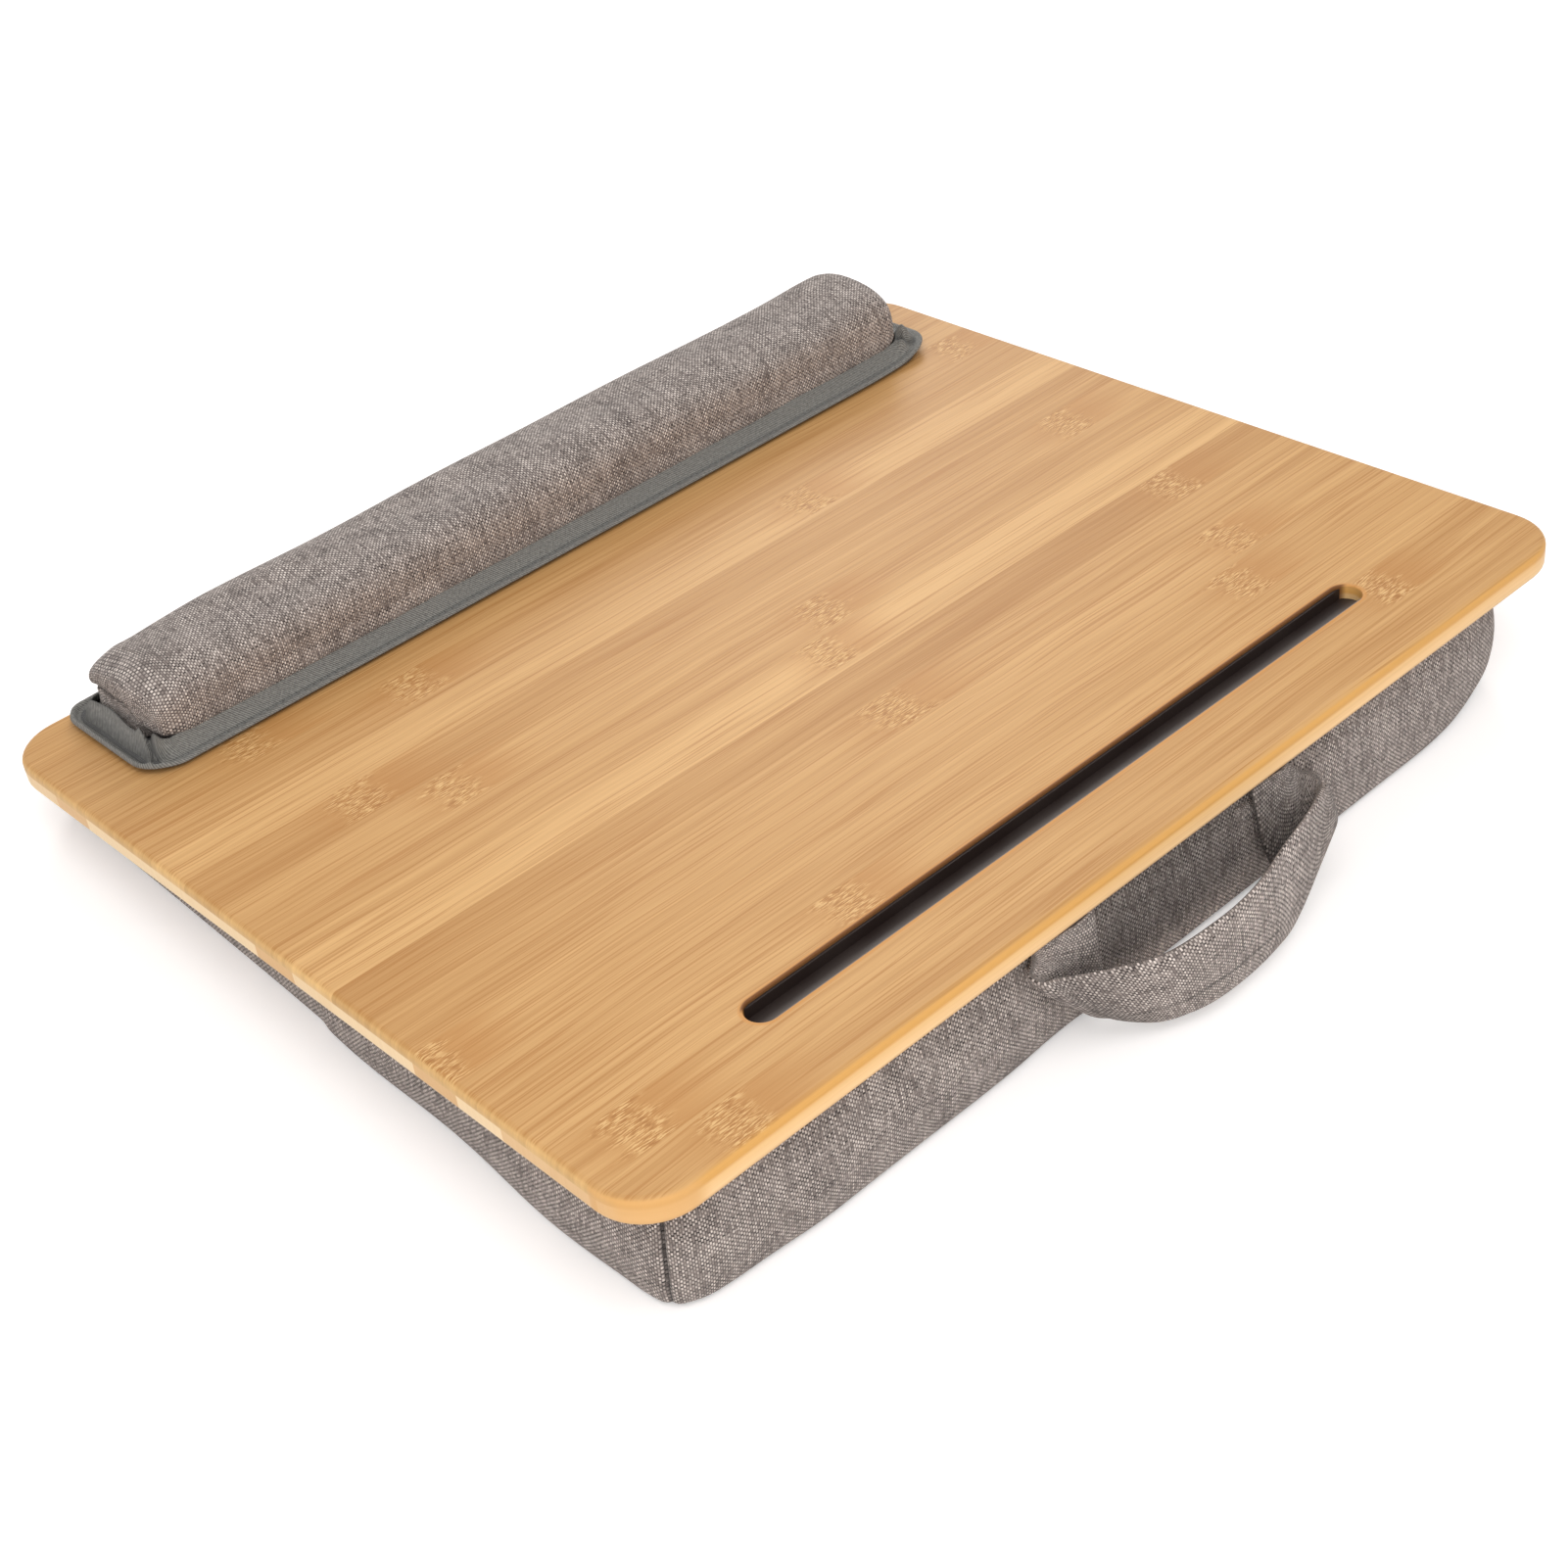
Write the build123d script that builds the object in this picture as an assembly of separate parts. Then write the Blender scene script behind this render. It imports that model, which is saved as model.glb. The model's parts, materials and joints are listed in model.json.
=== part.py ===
from build123d import *
import os

os.makedirs("parts", exist_ok=True)

# A bamboo lap tray on a wedge cushion, with a wrist rest, a tablet slot and a fabric carrying strap.
# Sizes are in millimetres. X is the user's right, Y points away from the user and Z is up.
# The origin is on the surface that the cushion lies on, at the middle of the cushion's underside.

# Bamboo board. Its own frame has zero height at the top face and zero depth at the middle.
board_width = 450.0
board_depth = 364.0
board_thickness = 11.0
board_corner_radius = 21.0
board_top_round = 2.4
board_bottom_round = 3.0
board_tilt_degrees = 4.5
board_middle_height = 47.0

# Tablet slot and the soft channel that lines it
slot_end_margin = 76.0
slot_length = board_width - 2 * slot_end_margin
slot_width = 12.0
slot_rear_margin = 38.5
slot_arris_round = 0.6
liner_fit = 0.1
liner_wall = 1.0
liner_top_depth = 1.2
liner_seat_depth = 5.5

# Cushion: a foam wedge in a cover that is sewn from a top, a bottom and four walls
cushion_side_setback = 12.0
cushion_end_setback = 4.0
cushion_half_width = board_width / 2 - cushion_side_setback
cushion_half_depth = board_depth / 2 - cushion_end_setback
cushion_corner_radius = 18.0
cushion_side_bow = 2.5
cushion_edge_draw = 4.5
cover_thickness = 2.0
soft_gap = 0.3
section_height_shares = (0.0, 0.16, 0.5, 0.84, 1.0)
section_draw_shares = (1.0, 0.3, 0.0, 0.25, 0.7)

# Hook and loop strips between the cushion and the board, and between the board and the wrist rest
strip_length = 70.0
strip_width = 24.0
strip_reach_x = 140.0
strip_reach_y = 125.0
hook_thickness = 0.8
loop_thickness = 0.6
closure_gap = 0.1
strip_fit = 0.3

# Wrist rest: a foam bolster in a cover, sewn to a flat base whose edge is bound with tape
rest_side_setback = 27.0
rest_length = board_width - 2 * rest_side_setback
rest_depth = 68.0
rest_setback = 0.5
rest_corner_radius = 14.0
rest_base_thickness = 2.0
bolster_end_setback = 12.0
bolster_half_length = rest_length / 2 - bolster_end_setback
bolster_seat_half_width = 21.5
bolster_half_width = 25.5
bolster_shoulder_half_width = 20.0
bolster_belly_height = 13.0
bolster_shoulder_height = 26.0
bolster_height = 35.0
bolster_cover_thickness = 1.5
bolster_station_shares = (1.0, 0.985, 0.95, 0.88, 0.75, 0.56, 0.34, 0.11)
bolster_width_shares = (0.84, 0.92, 0.97, 0.99, 1.0, 1.0, 1.0, 1.0)
bolster_height_shares = (0.7, 0.84, 0.94, 0.985, 1.0, 1.0, 1.0, 1.0)
binding_thickness = 1.5
binding_rise = 5.2
binding_end_width = 10.5
binding_side_width = 8.75
binding_inner_length = rest_length - 2 * binding_end_width
binding_inner_depth = rest_depth - 2 * binding_side_width
binding_inner_radius = 8.0
rest_strip_length = 120.0
rest_strip_reach_x = 105.0

# Carrying strap: a flat fabric tube that hangs from the top of the rear wall and bows away from it
strap_thickness = 3.4
strap_low_height = 5.0
strap_high_height = 40.0
strap_pivot_height = 45.0
strap_leg_inner_x = 29.0
strap_leg_outer_x = 64.0
strap_wall_gap = 0.6
strap_fold_low_x = 38.0
strap_fold_high_x = 66.0
strap_bow = 25.0
strap_low_x_shares = (1.0, 0.74, 0.3, -0.35, -0.8, -1.1)
strap_low_bow_shares = (0.0, 0.62, 0.95, 1.05, 1.0, 0.84)
strap_high_x_shares = (1.0, 0.72, 0.3, -0.2, -0.6, -0.94)
strap_high_bow_shares = (0.0, 0.45, 0.86, 0.95, 0.9, 0.8)
webbing_thickness = 1.2
webbing_edge_inset = 4.0
webbing_fit = 0.1
tab_thickness = 1.4
tab_length = 13.0
tab_gap = 0.3

# One length that every cut runs past the solid it cuts
cut_overrun = 30.0

board_underside = -board_thickness
slot_middle_y = board_depth / 2 - slot_rear_margin
rest_middle_y = rest_depth / 2 + rest_setback - board_depth / 2
closure_thickness = loop_thickness + closure_gap + hook_thickness
strip_recess = closure_thickness - soft_gap


def on_board(shape):
    """Moves a shape from the board's own frame to its place on the tilted top of the cushion."""
    return Pos(0, 0, board_middle_height) * Rot(board_tilt_degrees, 0, 0) * shape


def box_between(low, high):
    """A box from its lowest corner to its highest."""
    size = [b - a for a, b in zip(low, high)]
    return Pos(*low) * Box(*size, align=(Align.MIN, Align.MIN, Align.MIN))


def bowed_outline(half_x, half_y, radius, bow):
    """A rectangle with round corners, whose four sides bow outwards as one arc each."""
    side_x = half_x - bow
    side_y = half_y - bow
    flat_x = side_x - radius
    flat_y = side_y - radius
    reach = radius * 0.5**0.5
    edges = []
    for sign_x, sign_y in ((1, 1), (-1, 1), (-1, -1), (1, -1)):
        on_x = (sign_x * side_x, sign_y * flat_y)
        on_y = (sign_x * flat_x, sign_y * side_y)
        middle = (sign_x * (flat_x + reach), sign_y * (flat_y + reach))
        start, end = (on_x, on_y) if sign_x * sign_y > 0 else (on_y, on_x)
        edges.append(ThreePointArc(start, middle, end))
    sides = ((0, half_y), (-half_x, 0), (0, -half_y), (half_x, 0))
    corners = list(edges)
    for index, crown in enumerate(sides):
        following = corners[(index + 1) % len(corners)]
        edges.insert(2 * index + 1, ThreePointArc(corners[index] @ 1, crown, following @ 0))
    return make_face(Curve() + edges)


def cushion_form(inset):
    """The wedge's crowned body, drawn in by one inset on every side, floor and top included."""
    top_height = board_underside - soft_gap - inset
    sections = []
    for height_share, draw_share in zip(section_height_shares, section_draw_shares):
        draw = cushion_edge_draw * draw_share + inset
        outline = bowed_outline(
            cushion_half_width - draw,
            cushion_half_depth - draw,
            cushion_corner_radius - inset,
            cushion_side_bow,
        )
        height = inset + (board_middle_height + top_height - inset) * height_share
        sections.append(Pos(0, 0, height) * Rot(board_tilt_degrees * height_share, 0, 0) * outline)
    return loft(sections)


def strip_places():
    """The four places of the strips between the cushion and the board."""
    return [(x, y) for x in (-strip_reach_x, strip_reach_x) for y in (-strip_reach_y, strip_reach_y)]


def strips(places, length, width, low, high):
    """Flat strips of one size at several places, from one height to another in the board's frame."""
    half_length = length / 2
    half_width = width / 2
    pieces = []
    for x, y in places:
        near = (x - half_length, y - half_width, low)
        far = (x + half_length, y + half_width, high)
        pieces.append(box_between(near, far))
    return Compound(children=pieces)


def cushion_parts():
    """The foam, the six panels of the cover and the strips on its top."""
    shell = cushion_form(0) - cushion_form(cover_thickness)
    reach_x = cushion_half_width + cut_overrun
    reach_y = cushion_half_depth + cut_overrun
    under = box_between((-reach_x, -reach_y, -cut_overrun), (reach_x, reach_y, cover_thickness))
    panel_top = board_underside - soft_gap
    panel_low = panel_top - cover_thickness
    over = on_board(box_between((-reach_x, -reach_y, panel_low), (reach_x, reach_y, cut_overrun)))
    ring = shell - under - over

    inner_x = cushion_half_width - cushion_corner_radius - cushion_edge_draw
    inner_y = cushion_half_depth - cushion_corner_radius - cushion_edge_draw
    outer_x = inner_x + 2 * cut_overrun
    outer_y = inner_y + 2 * cut_overrun
    wall_height = board_middle_height + cut_overrun
    rear_plan = Polyline(
        (-inner_x, inner_y), (inner_x, inner_y), (outer_x, outer_y), (-outer_x, outer_y), close=True
    )
    right_plan = Polyline(
        (inner_x, -inner_y), (outer_x, -outer_y), (outer_x, outer_y), (inner_x, inner_y), close=True
    )
    rear = extrude(make_face(rear_plan), wall_height)
    right = extrude(make_face(right_plan), wall_height)

    top = shell & over
    grown = 2 * strip_fit
    hook_low = panel_top - strip_recess
    recess = strips(strip_places(), strip_length + grown, strip_width + grown, hook_low, cut_overrun)
    return {
        "cushion_foam": cushion_form(cover_thickness + soft_gap),
        "cushion_bottom": shell & under,
        "cushion_top": top - on_board(recess),
        "cushion_rear_wall": ring & rear,
        "cushion_front_wall": ring & mirror(rear, Plane.XZ),
        "cushion_right_wall": ring & right,
        "cushion_left_wall": ring & mirror(right, Plane.YZ),
        "cushion_hook_strips": on_board(
            strips(strip_places(), strip_length, strip_width, hook_low, hook_low + hook_thickness)
        ),
    }


def board_parts():
    """The board with its slot, the slot's liner and the loop strips glued to both faces."""
    board = extrude(RectangleRounded(board_width, board_depth, board_corner_radius), -board_thickness)
    board = fillet(board.edges().group_by(Axis.Z)[-1], board_top_round)
    board = fillet(board.edges().group_by(Axis.Z)[0], board_bottom_round)
    slot = Pos(0, slot_middle_y, -board_thickness - cut_overrun) * extrude(
        SlotOverall(slot_length, slot_width), board_thickness + 2 * cut_overrun
    )
    board -= slot
    board = fillet(board.faces().sort_by(Axis.Z)[-1].inner_wires()[0].edges(), slot_arris_round)

    fit = 2 * liner_fit
    liner = Pos(0, slot_middle_y, -board_thickness) * extrude(
        SlotOverall(slot_length - fit, slot_width - fit), board_thickness - liner_top_depth
    )
    channel_half_width = slot_width / 2 - liner_fit - liner_wall
    liner -= box_between(
        (-slot_length, slot_middle_y - channel_half_width, -liner_seat_depth),
        (slot_length, slot_middle_y + channel_half_width, cut_overrun),
    )
    loops_low = board_underside - loop_thickness
    loops_under = strips(strip_places(), strip_length, strip_width, loops_low, board_underside)
    loops_over = strips(rest_strip_places(), rest_strip_length, strip_width, 0, loop_thickness)
    return {
        "bamboo_board": on_board(board),
        "slot_liner": on_board(liner),
        "board_loop_strips": on_board(loops_under),
        "rest_loop_strips": on_board(loops_over),
    }


def rest_strip_places():
    """The two places of the strips under the wrist rest."""
    return [(x, rest_middle_y) for x in (-rest_strip_reach_x, rest_strip_reach_x)]


def bolster_section(station, width_share, height_share, inset):
    """One cross-section of the bolster: a flat side on its base and three arcs."""
    seat = soft_gap + rest_base_thickness
    seat_y = bolster_seat_half_width * width_share - inset
    belly_y = bolster_half_width * width_share - inset
    shoulder_y = bolster_shoulder_half_width * width_share - inset
    belly_z = seat + (bolster_belly_height - seat) * height_share
    shoulder_z = seat + (bolster_shoulder_height - seat) * height_share - inset
    crown_z = seat + (bolster_height - seat) * height_share - inset
    edges = [
        Line((-seat_y, seat), (seat_y, seat)),
        ThreePointArc((seat_y, seat), (belly_y, belly_z), (shoulder_y, shoulder_z)),
        ThreePointArc((shoulder_y, shoulder_z), (0, crown_z), (-shoulder_y, shoulder_z)),
        ThreePointArc((-shoulder_y, shoulder_z), (-belly_y, belly_z), (-seat_y, seat)),
    ]
    along_x = (bolster_half_length - inset) * station
    plane = Plane(origin=(along_x, rest_middle_y, 0), x_dir=(0, 1, 0), z_dir=(1, 0, 0))
    return plane * make_face(Curve() + edges)


def bolster_form(inset):
    """The bolster, lofted along X through equal sections that draw in towards both ends."""
    shares = list(zip(bolster_station_shares, bolster_width_shares, bolster_height_shares))
    mirrored = [(-station, width, height) for station, width, height in shares]
    ordered = mirrored + shares[::-1]
    return loft([bolster_section(*share, inset) for share in ordered])


def rest_parts():
    """The wrist rest: base, binding, foam, cover and strips."""
    base_low = soft_gap
    base_high = base_low + rest_base_thickness
    middle = Pos(0, rest_middle_y, 0)
    outline = RectangleRounded(rest_length, rest_depth, rest_corner_radius)
    base = middle * Pos(0, 0, base_low) * extrude(outline, rest_base_thickness)
    grown = 2 * strip_fit
    recess_high = base_low + strip_recess
    base -= strips(
        rest_strip_places(), rest_strip_length + grown, strip_width + grown, -cut_overrun, recess_high
    )

    inner_outline = RectangleRounded(binding_inner_length, binding_inner_depth, binding_inner_radius)
    foot = Pos(0, 0, base_high) * outline
    lip = Pos(0, 0, base_high + binding_rise) * inner_outline
    skirt = loft([foot, lip], ruled=True)
    core = Pos(0, 0, base_high) * extrude(inner_outline, binding_rise + cut_overrun)
    binding = middle * (skirt - Pos(0, 0, -binding_thickness) * skirt - core)

    hooks_low = recess_high - hook_thickness
    hooks = strips(rest_strip_places(), rest_strip_length, strip_width, hooks_low, recess_high)
    return {
        "rest_base": on_board(base),
        "rest_binding": on_board(binding),
        "rest_cover": on_board(bolster_form(0) - bolster_form(bolster_cover_thickness)),
        "rest_foam": on_board(bolster_form(bolster_cover_thickness + soft_gap)),
        "rest_hook_strips": on_board(hooks),
    }


def strap_section(low, high, thickness):
    """A thin four-sided section between two points of the strap's edges, thick along Y."""
    half = Vector(0, thickness / 2, 0)
    return make_face(Polyline(low - half, high - half, high + half, low + half, close=True))


def strap_band(thickness, edge_inset, first, last):
    """The strap's hanging stretch, lofted from its fold on the right to its fold on the left."""
    near_y = cushion_half_depth + strap_wall_gap + strap_thickness / 2
    sections = []
    for low_x, low_bow, high_x, high_bow in zip(
        strap_low_x_shares[first:last],
        strap_low_bow_shares[first:last],
        strap_high_x_shares[first:last],
        strap_high_bow_shares[first:last],
    ):
        low = Vector(strap_fold_low_x * low_x, near_y + strap_bow * low_bow, strap_low_height)
        high = Vector(strap_fold_high_x * high_x, near_y + strap_bow * high_bow, strap_high_height)
        step = (high - low).normalized() * edge_inset
        sections.append(strap_section(low + step, high - step, thickness))
    return loft(sections, ruled=True)


def handle_parts():
    """The carrying strap, its webbing, and the tabs that hold it in the seam over the rear wall."""
    near_y = cushion_half_depth + strap_wall_gap + strap_thickness / 2
    pivot_z = strap_pivot_height
    count = len(strap_low_x_shares)
    strap = strap_band(strap_thickness, 0, 0, count)

    right_leg = extrude(
        Plane.XZ
        * make_face(
            Polyline(
                (strap_leg_inner_x, pivot_z),
                (strap_leg_outer_x, pivot_z),
                (strap_fold_high_x, strap_high_height),
                (strap_fold_low_x, strap_low_height),
                (strap_leg_inner_x, strap_low_height + strap_thickness),
                close=True,
            )
        ),
        strap_thickness,
    )
    strap += Pos(0, near_y + strap_thickness / 2, 0) * right_leg

    root_inner = Vector(-strap_leg_inner_x, near_y, pivot_z)
    root_outer = Vector(-strap_leg_outer_x, near_y, pivot_z)
    fold_low = Vector(
        strap_fold_low_x * strap_low_x_shares[-1],
        near_y + strap_bow * strap_low_bow_shares[-1],
        strap_low_height,
    )
    fold_high = Vector(
        strap_fold_high_x * strap_high_x_shares[-1],
        near_y + strap_bow * strap_high_bow_shares[-1],
        strap_high_height,
    )
    root = strap_section(root_inner, root_outer, strap_thickness)
    fold = strap_section(fold_low, fold_high, strap_thickness)
    strap += loft([root, fold], ruled=True)
    leg_width = strap_leg_outer_x - strap_leg_inner_x
    for low_x in (strap_leg_inner_x, -strap_leg_outer_x):
        bead = Cylinder(strap_thickness / 2, leg_width, rotation=(0, 90, 0))
        strap += Pos(low_x + leg_width / 2, near_y, pivot_z) * bead

    webbing = strap_band(webbing_thickness, webbing_edge_inset, 1, count - 1)
    hollow_thickness = webbing_thickness + 2 * webbing_fit
    hollow = strap_band(hollow_thickness, webbing_edge_inset - webbing_fit, 1, count - 1)

    tab_outer_y = near_y - strap_thickness / 2 - tab_gap
    tab_high = pivot_z + strap_thickness / 2
    tabs = []
    for low_x in (strap_leg_inner_x, -strap_leg_outer_x):
        high_x = low_x + leg_width
        tab = box_between(
            (low_x, tab_outer_y - cushion_edge_draw - tab_thickness, tab_high - tab_length),
            (high_x, tab_outer_y, tab_high),
        )
        tabs.append(tab - cushion_form(0))
    return {
        "handle_sleeve": strap - hollow,
        "handle_webbing": webbing,
        "handle_tabs": Compound(children=tabs),
    }


nodes = {}
nodes.update(cushion_parts())
nodes.update(board_parts())
nodes.update(rest_parts())
nodes.update(handle_parts())
for name, shape in nodes.items():
    export_step(shape, f"parts/{name}.step")
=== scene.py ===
import json
import math

import bmesh
import bpy
import numpy as np
from mathutils import Matrix, Vector


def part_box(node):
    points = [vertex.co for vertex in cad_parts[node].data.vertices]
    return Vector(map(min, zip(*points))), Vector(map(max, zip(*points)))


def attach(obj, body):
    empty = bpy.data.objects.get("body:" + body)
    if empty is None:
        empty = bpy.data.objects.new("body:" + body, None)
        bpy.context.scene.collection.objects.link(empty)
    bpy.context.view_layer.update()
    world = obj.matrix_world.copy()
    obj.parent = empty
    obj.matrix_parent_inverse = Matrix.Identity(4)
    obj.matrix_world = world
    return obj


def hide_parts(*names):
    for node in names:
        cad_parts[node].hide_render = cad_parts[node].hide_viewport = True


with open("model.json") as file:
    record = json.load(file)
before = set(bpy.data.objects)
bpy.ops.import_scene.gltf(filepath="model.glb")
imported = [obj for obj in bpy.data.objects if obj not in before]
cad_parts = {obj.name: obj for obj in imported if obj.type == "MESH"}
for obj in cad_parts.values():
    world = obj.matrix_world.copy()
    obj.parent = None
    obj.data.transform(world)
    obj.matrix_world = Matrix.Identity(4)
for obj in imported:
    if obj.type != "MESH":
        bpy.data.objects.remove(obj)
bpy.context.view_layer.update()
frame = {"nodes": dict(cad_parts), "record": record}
nodes = frame["nodes"]
mm = 0.001

# The board's own frame: its middle is on the top face and it leans by the angle of the lift joint's axis.
joints = frame["record"]["behaviour"]["joints"]
liftAxis = next(joint["axis"] for joint in joints if joint["name"] == "board_lift")
boardTilt = math.atan2(-liftAxis[1], liftAxis[2])
boardThickness = 11 * mm
boardLow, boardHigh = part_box("bamboo_board")
boardMiddle = (boardLow[2] + boardHigh[2]) / 2 + boardThickness / 2 * math.cos(boardTilt)


# Turns points of the board's frame into points of the scene: a turn about X, then a lift.
def fromBoard(points):
    y, z = points[..., 1], points[..., 2]
    cosine, sine = math.cos(boardTilt), math.sin(boardTilt)
    return np.stack([points[..., 0], y * cosine - z * sine, y * sine + z * cosine + boardMiddle], axis=-1)


# The same turn and lift undone
def toBoard(points):
    y, z = points[..., 1], points[..., 2] - boardMiddle
    cosine, sine = math.cos(boardTilt), math.sin(boardTilt)
    return np.stack([points[..., 0], y * cosine + z * sine, z * cosine - y * sine], axis=-1)


# Mesh helpers
# A grid of points becomes quads. The grid can be closed in either direction, and each quad takes its
# four corners of the map, which has one row or column more than the points where the grid is closed.
def gridMesh(name, points, map2d, closeU=False, closeV=False):
    countU, countV = points.shape[:2]
    quadsU, quadsV = np.arange(countU - (not closeU)), np.arange(countV - (not closeV))
    i, j = [index.ravel() for index in np.meshgrid(quadsU, quadsV, indexing="ij")]
    corners = [(i, j), (i + 1, j), (i + 1, j + 1), (i, j + 1)]
    quads = np.stack([(a % countU) * countV + b % countV for a, b in corners], axis=1)
    mapped = np.stack([map2d[a, b] for a, b in corners], axis=1)
    mesh = bpy.data.meshes.new(name)
    mesh.vertices.add(countU * countV)
    mesh.vertices.foreach_set("co", points.reshape(-1, 3).ravel())
    mesh.loops.add(quads.size)
    mesh.loops.foreach_set("vertex_index", quads.ravel())
    mesh.polygons.add(len(quads))
    mesh.polygons.foreach_set("loop_start", np.arange(0, quads.size, 4))
    mesh.update(calc_edges=True)
    mesh.uv_layers.new(name="cloth").data.foreach_set("uv", mapped.reshape(-1, 2).ravel())
    mesh.validate()
    mesh.polygons.foreach_set("use_smooth", np.ones(len(mesh.polygons), dtype=bool))
    piece = bpy.data.objects.new(name, mesh)
    bpy.context.scene.collection.objects.link(piece)
    return piece


def readPoints(piece):
    points = np.empty(len(piece.data.vertices) * 3)
    piece.data.vertices.foreach_get("co", points)
    return points.reshape(-1, 3)


def writePoints(piece, points):
    piece.data.vertices.foreach_set("co", points.ravel())
    piece.data.update()


# Joins points within the distance, such as the ring of points at a pole, or closes every open ring of
# edges with one face where no distance is given. Turns all faces outwards.
def closeMesh(piece, distance=None):
    work = bmesh.new()
    work.from_mesh(piece.data)
    if distance is None:
        bmesh.ops.holes_fill(work, edges=[edge for edge in work.edges if edge.is_boundary], sides=0)
    else:
        bmesh.ops.remove_doubles(work, verts=work.verts, dist=distance)
    bmesh.ops.recalc_face_normals(work, faces=work.faces)
    work.to_mesh(piece.data)
    work.free()


# One level of live rounding
def smoothen(piece):
    modifier = piece.modifiers.new("rounding", "SUBSURF")
    modifier.levels = 1
    modifier.render_levels = 1


# Makes one level of rounding part of the mesh, for finer changes to its points.
def bakeRounding(piece):
    smoothen(piece)
    solved = piece.evaluated_get(bpy.context.evaluated_depsgraph_get())
    mesh = bpy.data.meshes.new_from_object(solved)
    piece.modifiers.clear()
    piece.data = mesh


# Writes a value for every point as an attribute that materials read: seamSide is the distance from a
# seam, seamShare how strongly the seam shows, and shade painted shade in a fold, or painted light below 0.
def paint(piece, label, values):
    layer = piece.data.attributes.new(label, "FLOAT", "POINT")
    layer.data.foreach_set("value", np.asarray(values).ravel().astype(np.float32))


# Soft unevenness: a sum of sine waves whose directions and phases come from a seeded generator.
def ripples(u, v, wavelength, seed):
    waves = 7
    generator = np.random.default_rng(seed)
    total = np.zeros(np.broadcast(u, v).shape)
    for _ in range(waves):
        angle, phase = generator.uniform(0, 2 * math.pi, 2)
        stretch = generator.uniform(0.7, 1.6)
        rate = 2 * math.pi / (wavelength * stretch)
        total = total + np.sin((u * math.cos(angle) + v * math.sin(angle)) * rate + phase)
    return total / math.sqrt(waves)


# A bell of height 1 about its centre
def bump(value, centre, width):
    return np.exp(-(((value - centre) / width) ** 2))


# An eased step from 0 at low to 1 at high
def easeStep(value, low, high):
    share = np.clip((value - low) / (high - low), 0, 1)
    return share * share * (3 - 2 * share)


# 1 from full to fading, with an eased rise to it from start and an eased fall from it to end
def within(value, start, full, fading, end):
    return easeStep(value, start, full) * (1 - easeStep(value, fading, end))


def distanceTo(place, xy):
    return np.hypot(xy[..., 0] - place[0], xy[..., 1] - place[1])


# Arrays whose shapes match are put together as the coordinates of a grid of points.
def together(*parts):
    return np.stack(np.broadcast_arrays(*parts), axis=-1)


# A smooth line through points: cubic pieces whose slopes come from the points on either side.
def smoothLine(points, lengths, samples):
    slopes = np.gradient(points, lengths, axis=0)
    piece = np.clip(np.searchsorted(lengths, samples, side="right") - 1, 0, len(lengths) - 2)
    gap = (lengths[piece + 1] - lengths[piece])[:, None]
    t = (samples - lengths[piece])[:, None] / gap
    startWeight = 2 * t**3 - 3 * t**2 + 1
    startSlope = (t**3 - 2 * t**2 + t) * gap
    endSlope = (t**3 - t**2) * gap
    return (
        startWeight * points[piece]
        + startSlope * slopes[piece]
        + (1 - startWeight) * points[piece + 1]
        + endSlope * slopes[piece + 1]
    )


# A rectangle with round corners: half of its straight stretches along X and Y, the length of a corner's
# arc and the whole length
def outlineParts(shape):
    flatX, flatY = shape["halfX"] - shape["radius"], shape["halfY"] - shape["radius"]
    arc = shape["radius"] * math.pi / 2
    return flatX, flatY, arc, 4 * (flatX + flatY) + 4 * arc


# Its points and their outward directions, by length from the middle of the +X side anticlockwise
def roundedOutline(shape, along):
    flatX, flatY, arc, total = outlineParts(shape)
    radius = shape["radius"]
    s = np.mod(along, total)
    stops = np.cumsum([0, flatY, arc, 2 * flatX, arc, 2 * flatY, arc, 2 * flatX, arc, flatY])
    leg = np.clip(np.searchsorted(stops, s, side="right") - 1, 0, 8)
    into = s - stops[leg]
    turned = np.where(leg % 2 == 1, into / radius, 0) + leg // 2 * math.pi / 2
    signX = np.array([1, 1, 1, -1, -1, -1, -1, 1, 1])[leg]
    signY = np.array([1, 1, 1, 1, 1, -1, -1, -1, -1])[leg]
    outX, outY = np.cos(turned), np.sin(turned)
    x = signX * flatX + radius * outX
    y = signY * flatY + radius * outY
    x = np.where(leg == 2, flatX - into, np.where(leg == 6, -flatX + into, x))
    y = np.where(leg == 0, into, np.where(leg == 8, -flatY + into, np.where(leg == 4, flatY - into, y)))
    return np.stack([x, y], axis=-1), np.stack([outX, outY], axis=-1)


# Cloth: the piece swells under pressure for twenty steps while its held points stay, and no point
# moves further than the cap. The result is written to the mesh and the simulation is removed.
clothSettings = {
    "quality": 6,
    "mass": 0.25,
    "tension_stiffness": 12,
    "compression_stiffness": 12,
    "shear_stiffness": 4,
    "bending_stiffness": 0.4,
    "use_pressure": True,
}
clothSteps = 20


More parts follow.
